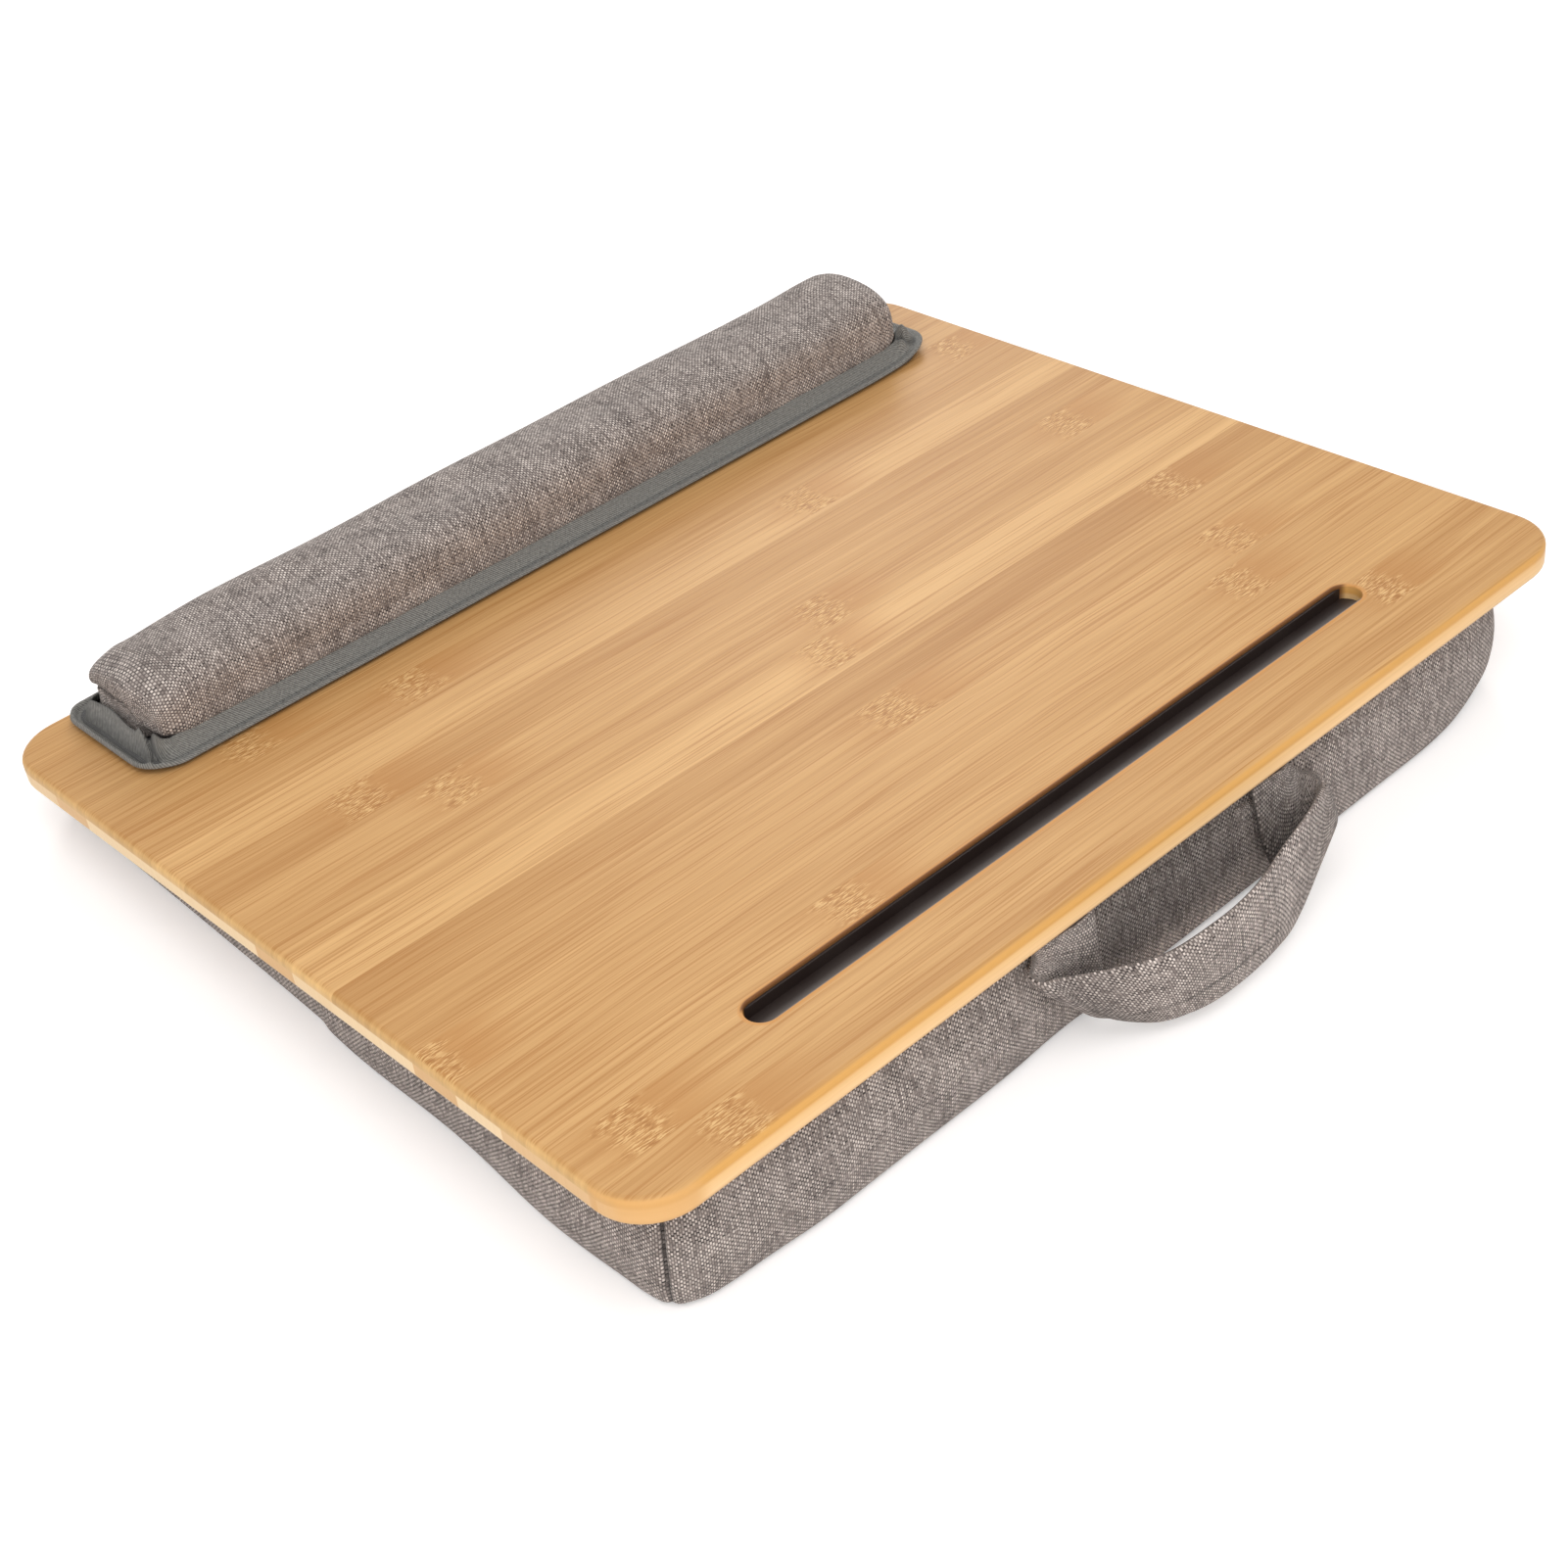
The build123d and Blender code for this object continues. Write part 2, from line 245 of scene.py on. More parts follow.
def swell(piece, held, pressure, cap):
    start = readPoints(piece)
    # the points that meet at a pole are drawn a little apart, towards their neighbours, for the steps
    pairs = np.empty(len(piece.data.edges) * 2, dtype=int)
    piece.data.edges.foreach_get("vertices", pairs)
    first, second = np.concatenate([pairs.reshape(-1, 2), pairs.reshape(-1, 2)[:, ::-1]]).T
    inPole = np.zeros(len(start), dtype=bool)
    inPole[first[np.linalg.norm(start[first] - start[second], axis=1) < 1e-6]] = True
    outwards = inPole[first] & ~inPole[second]
    begin = start.copy()
    apart = 0.2
    begin[first[outwards]] += apart * (start[second[outwards]] - start[first[outwards]])
    writePoints(piece, begin)
    group = piece.vertex_groups.new(name="held")
    for index in np.flatnonzero(held).tolist():
        group.add([index], 1.0, "REPLACE")
    cloth = piece.modifiers.new("cloth", "CLOTH")
    for setting, value in clothSettings.items():
        setattr(cloth.settings, setting, value)
    cloth.settings.uniform_pressure_force = pressure
    cloth.settings.vertex_group_mass = "held"
    cloth.settings.effector_weights.gravity = 0
    cloth.collision_settings.use_collision = False
    cloth.collision_settings.use_self_collision = False
    cloth.point_cache.frame_start = 1
    cloth.point_cache.frame_end = clothSteps
    scene = bpy.context.scene
    for step in range(1, clothSteps + 1):
        scene.frame_set(step)
    solved = piece.evaluated_get(bpy.context.evaluated_depsgraph_get())
    moved = np.empty(len(start) * 3)
    solved.data.vertices.foreach_get("co", moved)
    shift = (moved.reshape(-1, 3) - begin) * ~held[:, None]
    length = np.linalg.norm(shift, axis=1, keepdims=True)
    shift = shift * np.minimum(1, cap / np.maximum(length, 1e-9))
    piece.modifiers.remove(cloth)
    piece.vertex_groups.clear()
    writePoints(piece, start + shift)
    scene.frame_set(1)
    print(piece.name, "swelled by up to", round(float(length.max()) * 1000, 1), "mm")


# Shader helpers
# The value that leaves a node. Sums, products and the like of such values are Math nodes in their tree.
class NodeValue:
    def __init__(self, socket):
        self.socket = socket
        self.tree = socket.id_data

    def __add__(self, other):
        return calc("ADD", self, other)

    def __sub__(self, other):
        return calc("SUBTRACT", self, other)

    def __rsub__(self, other):
        return calc("SUBTRACT", other, self)

    def __mul__(self, other):
        return calc("MULTIPLY", self, other)

    def __truediv__(self, other):
        return calc("DIVIDE", self, other)

    def __abs__(self):
        return calc("ABSOLUTE", self)


# A value is linked to the socket, and a plain number or colour is set on it.
def feed(value, socket):
    if isinstance(value, NodeValue):
        value.tree.links.new(value.socket, socket)
    else:
        socket.default_value = value


# Adds a node, sets its options and feeds its inputs, by order or by label. Gives its outputs by order.
def addNode(tree, kind, feeds=(), **options):
    node = tree.nodes.new("ShaderNode" + kind)
    for option, setting in options.items():
        setattr(node, option, setting)
    for label, value in feeds.items() if isinstance(feeds, dict) else enumerate(feeds):
        feed(value, node.inputs[label])
    return [NodeValue(output) for output in node.outputs]


# The tree of the first node value among several values
def treeOf(*values):
    return next(value.tree for value in values if isinstance(value, NodeValue))


def calc(operation, *values):
    return addNode(treeOf(*values), "Math", values, operation=operation)[0]


def mix(share, first, second, blend="MIX"):
    feeds = {0: share, 6: first, 7: second}
    return addNode(treeOf(share, first, second), "Mix", feeds, data_type="RGBA", blend_type=blend)[2]


# The first result at low and before, the second at high and past it, with an eased way between them
def between(value, low, high, first=0.0, second=1.0, smooth=True):
    kind = "SMOOTHSTEP" if smooth else "LINEAR"
    return addNode(value.tree, "MapRange", (value, low, high, first, second), interpolation_type=kind)[0]


def ramp(share, stops, kind="LINEAR"):
    result = addNode(share.tree, "ValToRGB", (share,))[0]
    colourRamp = result.socket.node.color_ramp
    colourRamp.interpolation = kind
    while len(colourRamp.elements) < len(stops):
        colourRamp.elements.new(0.5)
    for element, (place, tone) in zip(colourRamp.elements, stops):
        element.position = place
        element.color = tone
    return result


def combine(x, y, z):
    return addNode(treeOf(x, y, z), "CombineXYZ", (x, y, z))[0]


def separate(vector):
    return addNode(vector.tree, "SeparateXYZ", (vector,))


def noise(vector, scale, detail, roughness=0.5):
    feeds = {"Vector": vector, "Scale": scale, "Detail": detail, "Roughness": roughness}
    return addNode(vector.tree, "TexNoise", feeds)[0]


# One output of a node that has no inputs
def source(tree, kind, output, **options):
    values = addNode(tree, kind, **options)
    return next(value for value in values if value.socket.name == output)


def painted(tree, label):
    return source(tree, "Attribute", "Fac", attribute_name=label)


def colour(red, green, blue):
    return (red, green, blue, 1.0)


# A group whose inputs are numbers, or a vector where the default is None, and whose outputs are numbers
def newGroup(name, inputs, outputs):
    tree = bpy.data.node_groups.new(name, "ShaderNodeTree")
    for label, default in inputs.items():
        kind = "NodeSocketVector" if default is None else "NodeSocketFloat"
        socket = tree.interface.new_socket(label, in_out="INPUT", socket_type=kind)
        if default is not None:
            socket.default_value = default
    for label in outputs:
        tree.interface.new_socket(label, in_out="OUTPUT", socket_type="NodeSocketFloat")
    entry = tree.nodes.new("NodeGroupInput")
    leave = tree.nodes.new("NodeGroupOutput")
    return tree, {socket.name: NodeValue(socket) for socket in entry.outputs}, leave.inputs


def placeGroup(tree, group, **values):
    outputs = addNode(tree, "Group", values, node_tree=group)
    return {value.socket.name: value for value in outputs}


def newMaterial(name, roughness, specular, sheen=0.0):
    material = bpy.data.materials.new(name)
    material.use_nodes = True
    shader = material.node_tree.nodes["Principled BSDF"]
    shader.inputs["Roughness"].default_value = roughness
    shader.inputs["Specular IOR Level"].default_value = specular
    shader.inputs["Sheen Weight"].default_value = sheen
    shader.inputs["Sheen Roughness"].default_value = 0.5
    return material, material.node_tree, shader.inputs


def addBump(inputs, height, distance):
    feed(addNode(height.tree, "Bump", {"Distance": distance, "Height": height})[0], inputs["Normal"])


# Plain weave on the cloth map. Warp and weft take turns on top like a chessboard; each yarn is a
# rounded ridge that dips under its neighbours. The warp is pale and the weft dark, whole stretches of
# yarn are lighter or darker, and every crossing has its own tone.
weaving = {
    "driftScale": 45,
    "drift": 1.8,
    "lift": 0.42,
    "slubLength": 0.08,
    "crossing": 0.22,
    "patchScale": 70,
    "patch": 0.2,
}


def weaveGroup():
    w = weaving
    inputs = {"Place": None, "Pitch": 0.001, "Slub": 0.3, "Contrast": 0.1}
    tree, given, result = newGroup("melangeWeave", inputs, ("Tone", "Height"))
    place, pitch = given["Place"], given["Pitch"]
    x, y, _ = separate(place)
    a = x / pitch + (noise(place, w["driftScale"], 2) - 0.5) * w["drift"]
    b = y / pitch + (noise(combine(y, x, 3.0), w["driftScale"], 2) - 0.5) * w["drift"]
    yarns = []
    for across, along, turn in ((a, b, 0.0), (b, a, math.pi)):
        index = calc("FLOOR", across)
        ridge = calc("COSINE", (across - index - 0.5) * math.pi)
        wave = calc("COSINE", (along - 0.5 + index) * math.pi + turn)
        slub = noise(combine(index * 7.31, along * w["slubLength"], turn), 1.0, 2, 0.6) - 0.5
        crossing = addNode(tree, "TexWhiteNoise", {"Vector": combine(index, calc("FLOOR", along), turn)})[0]
        tone = slub * given["Slub"] + (crossing - 0.5) * w["crossing"]
        yarns.append((ridge * (wave * w["lift"] + (1 - w["lift"])), tone))
    (warpHeight, warpTone), (weftHeight, weftTone) = yarns
    warpOnTop = calc("GREATER_THAN", warpHeight, weftHeight)
    tones = {0: warpOnTop, 2: weftTone - given["Contrast"], 3: warpTone + given["Contrast"]}
    patch = (noise(place, w["patchScale"], 3) - 0.5) * w["patch"]
    feed(patch + addNode(tree, "Mix", tones)[0] + 0.5, result["Tone"])
    feed(calc("MAXIMUM", warpHeight, weftHeight), result["Height"])
    return tree


# One bamboo node: a narrow band of short dashes across a strip, some pale and some dark, on a soft
# shadow. The band wavers, and the masks of many such nodes add up.
def knotGroup():
    inputs = {"Place": None, "X": 0.0, "Y": 0.0, "Size": 1.0, "Band": 0.0, "Shadow": 0.0}
    tree, given, result = newGroup("bambooNode", inputs, ("Band", "Shadow"))
    x, y, _ = separate(given["Place"])
    waver = (noise(combine(0.0, y, given["X"]), 260, 2) - 0.5) * 0.02
    offX = x - given["X"] + waver
    inStrip = between(abs(y - given["Y"]), 10.7 * mm, 9.5 * mm)
    band = between(abs(offX), given["Size"] * (12.5 * mm), 3 * mm) * inStrip
    shadow = between(abs(offX + 7 * mm), given["Size"] * (34 * mm), 2 * mm) * inStrip
    feed(calc("MAXIMUM", given["Band"], band), result["Band"])
    feed(calc("MAXIMUM", given["Shadow"], shadow), result["Shadow"])
    return tree


weave = weaveGroup()
knot = knotGroup()

# Bamboo: glued strips that run across the tray, each with its own tone, fine fibres along them, the
# nodes of the cane, and three plies that show on the edges.
bamboo = {
    "stripWidth": 21.8 * mm,
    "firstJoint": 10.0 * mm,
    "dark": colour(0.46, 0.226, 0.073),
    "light": colour(0.73, 0.438, 0.186),
    # strip tones from the wrist rest's side to the slot's side, 0 dark to 1 light
    "tones": (
        0.5, 0.45, 0.5, 0.42, 0.36, 0.72, 0.3, 0.5, 0.46, 0.84, 0.26, 0.5, 0.55, 0.5, 0.56, 0.44, 0.5, 0.52
    ),
    # noise rates along and across a strip and detail: fine, middle and broad fibres, and dark threads
    "fibres": ((14, 1500, 3), (6, 420, 3), (5, 90, 3), (12, 1300, 2)),
    "thread": colour(0.42, 0.18, 0.048),
    # nodes of the cane: X and Y in millimetres, and size
    "knots": (
        (-127, 109, 0.9), (-149, 86, 0.9), (-154, 151, 0.9), (6, 65, 1.2), (-168, 43, 1.0), (-4, 20, 0.9),
        (-22, -2, 1.0), (-183, -24, 1.0), (134, -24, 0.9), (159, -46, 1.1), (-76, -67, 1.0), (104, -89, 1.1),
        (165, -107, 1.0), (-205, -110, 0.8), (92, 130, 1.0), (182, 174, 1.0), (201, 152, 1.0), (223, 86, 0.8),
    ),
    "knotShadow": colour(0.49, 0.225, 0.066),
    "paleDash": colour(0.84, 0.55, 0.25),
    "darkDash": colour(0.38, 0.165, 0.048),
    "arris": colour(0.62, 0.29, 0.085),
    "farArris": colour(0.12, 0.04, 0.015),
    # the long edges, from the top down: an orange ply, a pale core and a browner ply
    "plies": (
        (0.0, colour(0.72, 0.395, 0.125)),
        (0.26, colour(0.74, 0.385, 0.105)),
        (0.36, colour(0.88, 0.55, 0.245)),
        (0.74, colour(0.95, 0.635, 0.325)),
        (0.86, colour(0.72, 0.44, 0.21)),
        (1.0, colour(0.58, 0.32, 0.14)),
    ),
    # the short edges show end grain: the top ply's two tones, the core's blocks and pores, the low ply
    "endTones": (colour(0.56, 0.32, 0.12), colour(0.82, 0.52, 0.22)),
    "blockTones": (colour(0.78, 0.485, 0.225), colour(0.98, 0.75, 0.46)),
    "pore": colour(0.62, 0.36, 0.15),
    "lowPly": colour(0.50, 0.31, 0.18),
    "roundCorner": colour(0.72, 0.40, 0.15),
}


linerLow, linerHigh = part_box("slot_liner")
slotY = float(toBoard((np.array(linerLow) + np.array(linerHigh)) / 2)[1])
slotRadius = 6 * mm
slotReach = float(linerHigh[0]) - slotRadius


# The place of a shaded point in the board's frame
def boardPlace(tree):
    place = source(tree, "TexCoord", "Object")
    back = (0, -boardMiddle * math.sin(boardTilt), -boardMiddle * math.cos(boardTilt))
    return addNode(tree, "Mapping", {"Vector": place, "Location": back, "Rotation": (-boardTilt, 0, 0)})[0]


# Nodes of the cane: a soft shadow with pale and dark dashes. Gives the new wood and the pale dashes.
def addKnots(tree, place, wood):
    b = bamboo
    x, y, _ = separate(place)
    masks = {"Band": 0.0, "Shadow": 0.0}
    for knotX, knotY, size in b["knots"]:
        masks = placeGroup(tree, knot, Place=place, X=knotX * mm, Y=knotY * mm, Size=size, **masks)
    dashes = noise(combine(x * 240, y * 1900, 0.0), 1, 2)
    paleDash = between(dashes, 0.52, 0.57) * masks["Band"]
    darkDash = between(dashes, 0.46, 0.41) * masks["Band"]
    wood = mix(masks["Shadow"] * 0.55, wood, b["knotShadow"])
    wood = mix(paleDash * 0.7, wood, b["paleDash"])
    return mix(darkDash * 0.75, wood, b["darkDash"]), paleDash


def bambooMaterial():
    b = bamboo
    material, tree, inputs = newMaterial("bamboo", 0.42, 0.15)
    place = boardPlace(tree)
    x, y, z = separate(place)

    # strips: half of them, and the one with the first joint, lie on the wrist rest's side
    count = len(b["tones"])
    stripShare = (y - (b["firstJoint"] - count / 2 * b["stripWidth"])) / b["stripWidth"]
    stripIndex = calc("FLOOR", stripShare)
    stops = [(k / count, colour(tone, tone, tone)) for k, tone in enumerate(b["tones"])]
    stripTone = ramp(stripShare / count, stops, "CONSTANT")
    stripSeed = stripIndex * 3.7

    # fibres: noise drawn out along the strips
    across = y + (noise(combine(x, y, stripSeed), 7, 2) - 0.5) * 0.006
    fine, middle, broad, threads = [
        noise(combine(x * alongRate, across * acrossRate, stripSeed), 1, detail)
        for alongRate, acrossRate, detail in b["fibres"]
    ]
    tone = stripTone + (broad - 0.5) * 0.8 + (middle - 0.5) * 0.8 + (fine - 0.5) * 0.75
    wood = mix(tone, b["dark"], b["light"])
    wood = mix(between(threads, 0.38, 0.44, 0.5, 0.0), wood, b["thread"])
    wood, paleDash = addKnots(tree, place, wood)

    # the rounded arris of the slot cuts into the more orange top ply
    past = calc("MAXIMUM", abs(x) - slotReach, 0.0)
    offMiddle = y - slotY
    offSlot = calc("SQRT", past * past + offMiddle * offMiddle) - slotRadius
    wood = mix(between(offSlot, 2.1 * mm, 1.1 * mm) * 0.8, wood, b["arris"])

    # plies on the long edges, and end grain on the short ones
    depth = z / -boardThickness
    plyGrain = noise(combine(x * 9, y * 9, z * 900), 1, 3)
    ply = mix(abs(plyGrain - 0.5) * 0.7, ramp(depth, b["plies"]), b["dark"])
    block = between(noise(combine(0.0, stripIndex * 5.3, 2.0), 1, 0), 0.34, 0.48)
    core = mix(fine * 0.35, mix(block, *b["blockTones"]), b["pore"])
    endPly = mix(between(depth, 0.3, 0.36), mix(tone, *b["endTones"]), core)
    endPly = mix(between(depth, 0.8, 0.88), endPly, b["lowPly"])
    edge = mix(between(abs(x), 222.5 * mm, 224.5 * mm), ply, endPly)
    atCorner = between(x, 198 * mm, 206 * mm) * between(y, 158.5 * mm, 160.5 * mm)
    edge = mix(atCorner * 0.75, edge, b["roundCorner"])
    onEdge = between(depth, 0.012, 0.1) * between(depth, 0.998, 0.97)
    wood = mix(onEdge, wood, edge)

    # the slot's far arris, turned from the light, is darkest
    farArris = between(offSlot, 1.3 * mm, 0.4 * mm) * between(offMiddle, -3 * mm, -5 * mm)
    feed(mix(farArris * 0.85, wood, b["farArris"]), inputs["Base Color"])
    feed(fine * 0.12 + 0.36, inputs["Roughness"])
    addBump(inputs, fine - paleDash * 0.4, 0.06 * mm)
    return material


# What is left of the light along a seam and in a fold
def foldShade(tree):
    line = between(abs(painted(tree, "seamSide")), 1.0 * mm, 0.25 * mm) * painted(tree, "seamShare")
    return (1 - line * 0.62) * (1 - painted(tree, "shade") * 0.7)


# Woven cloths: pitch of the yarns, tones from dark to light, and how much stretches of yarn and warp
# and weft differ. The melange is grey-taupe, and the underside is plain and dark.
cloths = {
    "melangeCloth": {
        "pitch": 0.88 * mm,
        "tones": (colour(0.055, 0.044, 0.040), colour(0.25, 0.206, 0.186), colour(0.76, 0.665, 0.605)),
        "slub": 0.7,
        "contrast": 0.14,
    },
    "plainUnderside": {
        "pitch": 0.6 * mm,
        "tones": (colour(0.07, 0.068, 0.066), colour(0.11, 0.107, 0.103), colour(0.16, 0.156, 0.15)),
        "slub": 0.2,
        "contrast": 0.06,
    },
}


# Woven cloth with painted shade between its yarns, along seams and in folds, and painted light on its yarns'
# tops
def clothMaterial(name):
    look = cloths[name]
    material, tree, inputs = newMaterial(name, 0.9, 0.2, sheen=0.12)
    place = source(tree, "UVMap", "UV", uv_map="cloth")
    woven = placeGroup(
        tree, weave, Place=place, Pitch=look["pitch"], Slub=look["slub"], Contrast=look["contrast"]
    )
    yarn = ramp(woven["Tone"], list(zip((0.2, 0.5, 0.8), look["tones"])))
    # painted shade in the hollows between yarns and painted light on their tops, times the painted shade of
    # seams and folds
    hollow = between(woven["Height"], 0.1, 0.75, 0.5, 1.12, smooth=False) * foldShade(tree)
    feed(mix(1.0, yarn, combine(hollow, hollow, hollow), "MULTIPLY"), inputs["Base Color"])
    addBump(inputs, woven["Height"], 0.25 * mm)
    return material


# Ribbed binding tape: slanting ribs across its length with painted shade in their valleys, and a row of
# stitches in a trough, with painted shade, beside the folded rim. Painted shade also darkens its folds.
ribbing = {
    "ribPitch": 1.05 * mm,
    "slant": 0.6,
    "stitchLine": 3.6 * mm,
    "stitchPitch": 3.4 * mm,
    "valley": colour(0.088, 0.083, 0.077),
    "ridge": colour(0.30, 0.29, 0.265),
    "trough": colour(0.06, 0.06, 0.058),
    "thread": colour(0.24, 0.24, 0.225),
    "fold": colour(0.03, 0.03, 0.029),
}


def tapeMaterial():
    r = ribbing
    material, tree, inputs = newMaterial("bindingTape", 0.75, 0.25, sheen=0.1)
    place = source(tree, "UVMap", "UV", uv_map="cloth")
    x, y, _ = separate(place)
    along = x + y * r["slant"] + (noise(place, 60, 2) - 0.5) * (1.2 * mm)
    height = calc("SINE", along * (2 * math.pi / r["ribPitch"])) * 0.5 + 0.5
    # a random mottle, with painted shade in the ribs' valleys and painted light on their ridges
    tone = noise(place, 900, 3) - 0.25 + height * 0.5
    cloth = ramp(tone, [(0.1, r["valley"]), (0.9, r["ridge"])])
    offLine = abs(y - r["stitchLine"])
    dash = calc("FRACT", x / r["stitchPitch"])
    shows = 1 - painted(tree, "seamShare")
    stitch = between(offLine, 0.45 * mm, 0.2 * mm) * between(dash, 0.72, 0.66) * shows
    # painted shade in the trough that holds the stitches
    trough = between(offLine, 0.9 * mm, 0.3 * mm) * shows
    cloth = mix(trough * 0.35, cloth, r["trough"])
    cloth = mix(stitch * 0.6, cloth, r["thread"])
    # painted shade where the tape's shade attribute marks folds, creases and hollows
    cloth = mix(painted(tree, "shade") * 0.8, cloth, r["fold"])
    feed(cloth, inputs["Base Color"])
    addBump(inputs, height - trough * 1.6 + stitch * 2.0, 0.2 * mm)
    return material


# Smooth dark grey liner, a little dusty, with painted shade that darkens it towards its far side, so it is
# paler on its near side. The tones run from the far side.
lining = (
    (0.0, colour(0.020, 0.012, 0.010)),
    (0.32, colour(0.036, 0.025, 0.021)),
    (1.0, colour(0.165, 0.138, 0.122)),
)


def linerMaterial():
    material, tree, inputs = newMaterial("slotLining", 0.5, 0.35)
    place = source(tree, "TexCoord", "Object")
    dust = noise(place, 45, 4)
    speck = noise(place, 2400, 2)
    _, y, _ = separate(boardPlace(tree))
    # painted shade: darkest towards the far side, under the far wall, and paler towards the near side
    nearSide = between(y - slotY, -5.2 * mm, 4.4 * mm)
    tone = ((speck - 0.5) * 0.3 + dust - 0.5) * 0.25 + nearSide
    feed(ramp(tone, lining), inputs["Base Color"])
    feed(between(dust, 0.3, 0.7, 0.42, 0.6), inputs["Roughness"])
    addBump(inputs, speck, 0.04 * mm)
    return material


# Hook-and-loop pile: small cells under a tangled nap
def pileMaterial(name, scale, tone):
    material, tree, inputs = newMaterial(name, 0.85, 0.2, sheen=0.2)
    place = source(tree, "TexCoord", "Object")
    cells = addNode(tree, "TexVoronoi", {"Vector": place, "Scale": scale})[0]
    height = noise(place, scale * 0.4, 3) - cells
    dark, light = colour(tone * 0.4, tone * 0.4, tone * 0.42), colour(tone, tone, tone * 1.04)
    feed(ramp(height, [(0.0, dark), (0.6, light)]), inputs["Base Color"])
    addBump(inputs, height, 0.6 * mm)
    return material


melange = clothMaterial("melangeCloth")
underCloth = clothMaterial("plainUnderside")
tapeFinish = tapeMaterial()
print("materials made")


def finishNodes(material, *names):
    for name in names:
        nodes[name].data.materials.clear()
        nodes[name].data.materials.append(material)


finishNodes(bambooMaterial(), "bamboo_board")
finishNodes(linerMaterial(), "slot_liner")
finishNodes(pileMaterial("hookPile", 1500, 0.06), "cushion_hook_strips", "rest_hook_strips")
finishNodes(pileMaterial("loopPile", 900, 0.05), "board_loop_strips", "rest_loop_strips")
print("solid pieces finished")


def dress(piece, material, body, slotName, *replaced):
    piece.data.materials.append(material)
    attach(piece, body)
    if replaced:
        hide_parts(*replaced)


# Cushion: one closed cover. Columns follow the outline and stand closer at the four corner seams, and
# rows go from the middle of the underside out, up the wall and back to the middle of the top.
cushion = {
    "halfX": 212.0 * mm,
    "halfY": 177.4 * mm,
    "radius": 17 * mm,
    "columnGap": 5.0 * mm,
    "wallRows": 13,
    "bottomDraw": 0.2 * mm,
    "topDraw": 4.0 * mm,
    "belly": 1.2 * mm,
    "seamDepth": 1.9 * mm,
    "seamWidth": 0.8 * mm,
    "seamShift": 4 * mm,
    # the rear left corner is filled less: it is rounder, most of all near the floor and under the board
    "slack": 6.5 * mm,
    "slackReach": 24 * mm,
    "topGap": 0.5 * mm,
    "bottomRound": 1.8 * mm,
    # fuller places near the floor: on the right side by Y, and along the rear side
    "rightFull": ((118 * mm, 36 * mm, 2.9 * mm), (20 * mm, 34 * mm, 2.0 * mm)),
    "rearFull": 2.2 * mm,
    "wobble": 0.35 * mm,
    # the cloth's painted shade inside the strap's loop, darkest up under the board, and painted light at its
    # foot
    "loopPaintedShadeAndLight": 0.48,
    "footPaintedLight": 0.8,
}


# Places along the outline, which starts at the middle of the right side: the corner seams at the rear
# right, rear left, front left and front right, and the middle of the rear side
def cushionSeams():
    flatX, flatY, arc, _ = outlineParts(cushion)
    seams = [flatY + arc / 2]
    for gap in (2 * flatX + arc, 2 * flatY + arc, 2 * flatX + arc):
        seams.append(seams[-1] + gap)
    seams[0] -= cushion["seamShift"]
    return seams, flatY + arc + flatX


def cushionColumns(seams, total):
    beside = np.array([0.4, 0.9, 1.6, 2.6, 4]) * mm
    near = np.concatenate([-beside[::-1], [0], beside])
    even = np.arange(0, total, cushion["columnGap"])
    clear = np.all([np.abs(even - seam) > 6 * mm for seam in seams], axis=0)
    return np.sort(np.concatenate([even[clear]] + [seam + near for seam in seams]))


# How far inside the outline the wall lies, by its column and by its height from 0 to 1: a rounded lower
# edge, a belly and a draw under the board, with the fuller places and the slack corner
def wallDraw(along, rearX, share, slackCorner):
    c = cushion
    bottomDraw = c["bottomDraw"] + c["bottomRound"] * (1 - easeStep(share, 0, 0.14)) * 0.75
    draw = bottomDraw * (1 - share) + c["topDraw"] * share**3 - c["belly"] * np.sin(math.pi * share)
    wobble = ripples(along[:, None], share * 40 * mm, 70 * mm, 4) * np.sin(math.pi * share) ** 0.7
    draw = draw - c["wobble"] * wobble
    full = sum(size * bump(along, middle, reach) for middle, reach, size in c["rightFull"])
    rear = within(rearX, -190 * mm, -140 * mm, 150 * mm, 185 * mm)
    rear = rear * (1 - 0.6 * bump(rearX, 46 * mm, 20 * mm))
    full = full + c["rearFull"] * rear - 1.2 * mm * bump(rearX, 198 * mm, 9 * mm)
    draw = draw - full[:, None] * (1 - easeStep(share, 0.3, 1))
    slackShare = 0.75 + 0.75 * (1 - share) ** 5 + 0.4 * share**2
    return draw + c["slack"] * slackShare * bump(along, slackCorner, c["slackReach"])[:, None]


# Corner seams draw the cloth in along a narrow line, and it puffs up beside them.
def sewCorners(place, outward, along, seams, fade):
    c = cushion
    for seam in seams:
        depth = c["seamDepth"] * bump(along, seam, c["seamWidth"])[:, None] * fade
        puff = 0.5 * mm * (bump(along, seam, 5 * mm) - bump(along, seam, 2 * mm))[:, None] * fade
        place[..., :2] -= outward[:, None, :] * (depth - puff)[..., None]


# Painted shade and light: the cloth is darker inside the strap's loop, most of all up under the board, and
# paler at its foot.
def loopPaintedShadeAndLight(rearX, height):
    c = cushion
    inLoop = within(rearX, -47 * mm, -36 * mm, 26 * mm, 34 * mm)
    shade = c["loopPaintedShadeAndLight"] * easeStep(height, 8 * mm, 28 * mm)
    shade = shade - c["footPaintedLight"] * (1 - easeStep(height, 4 * mm, 20 * mm))
    return inLoop[:, None] * shade


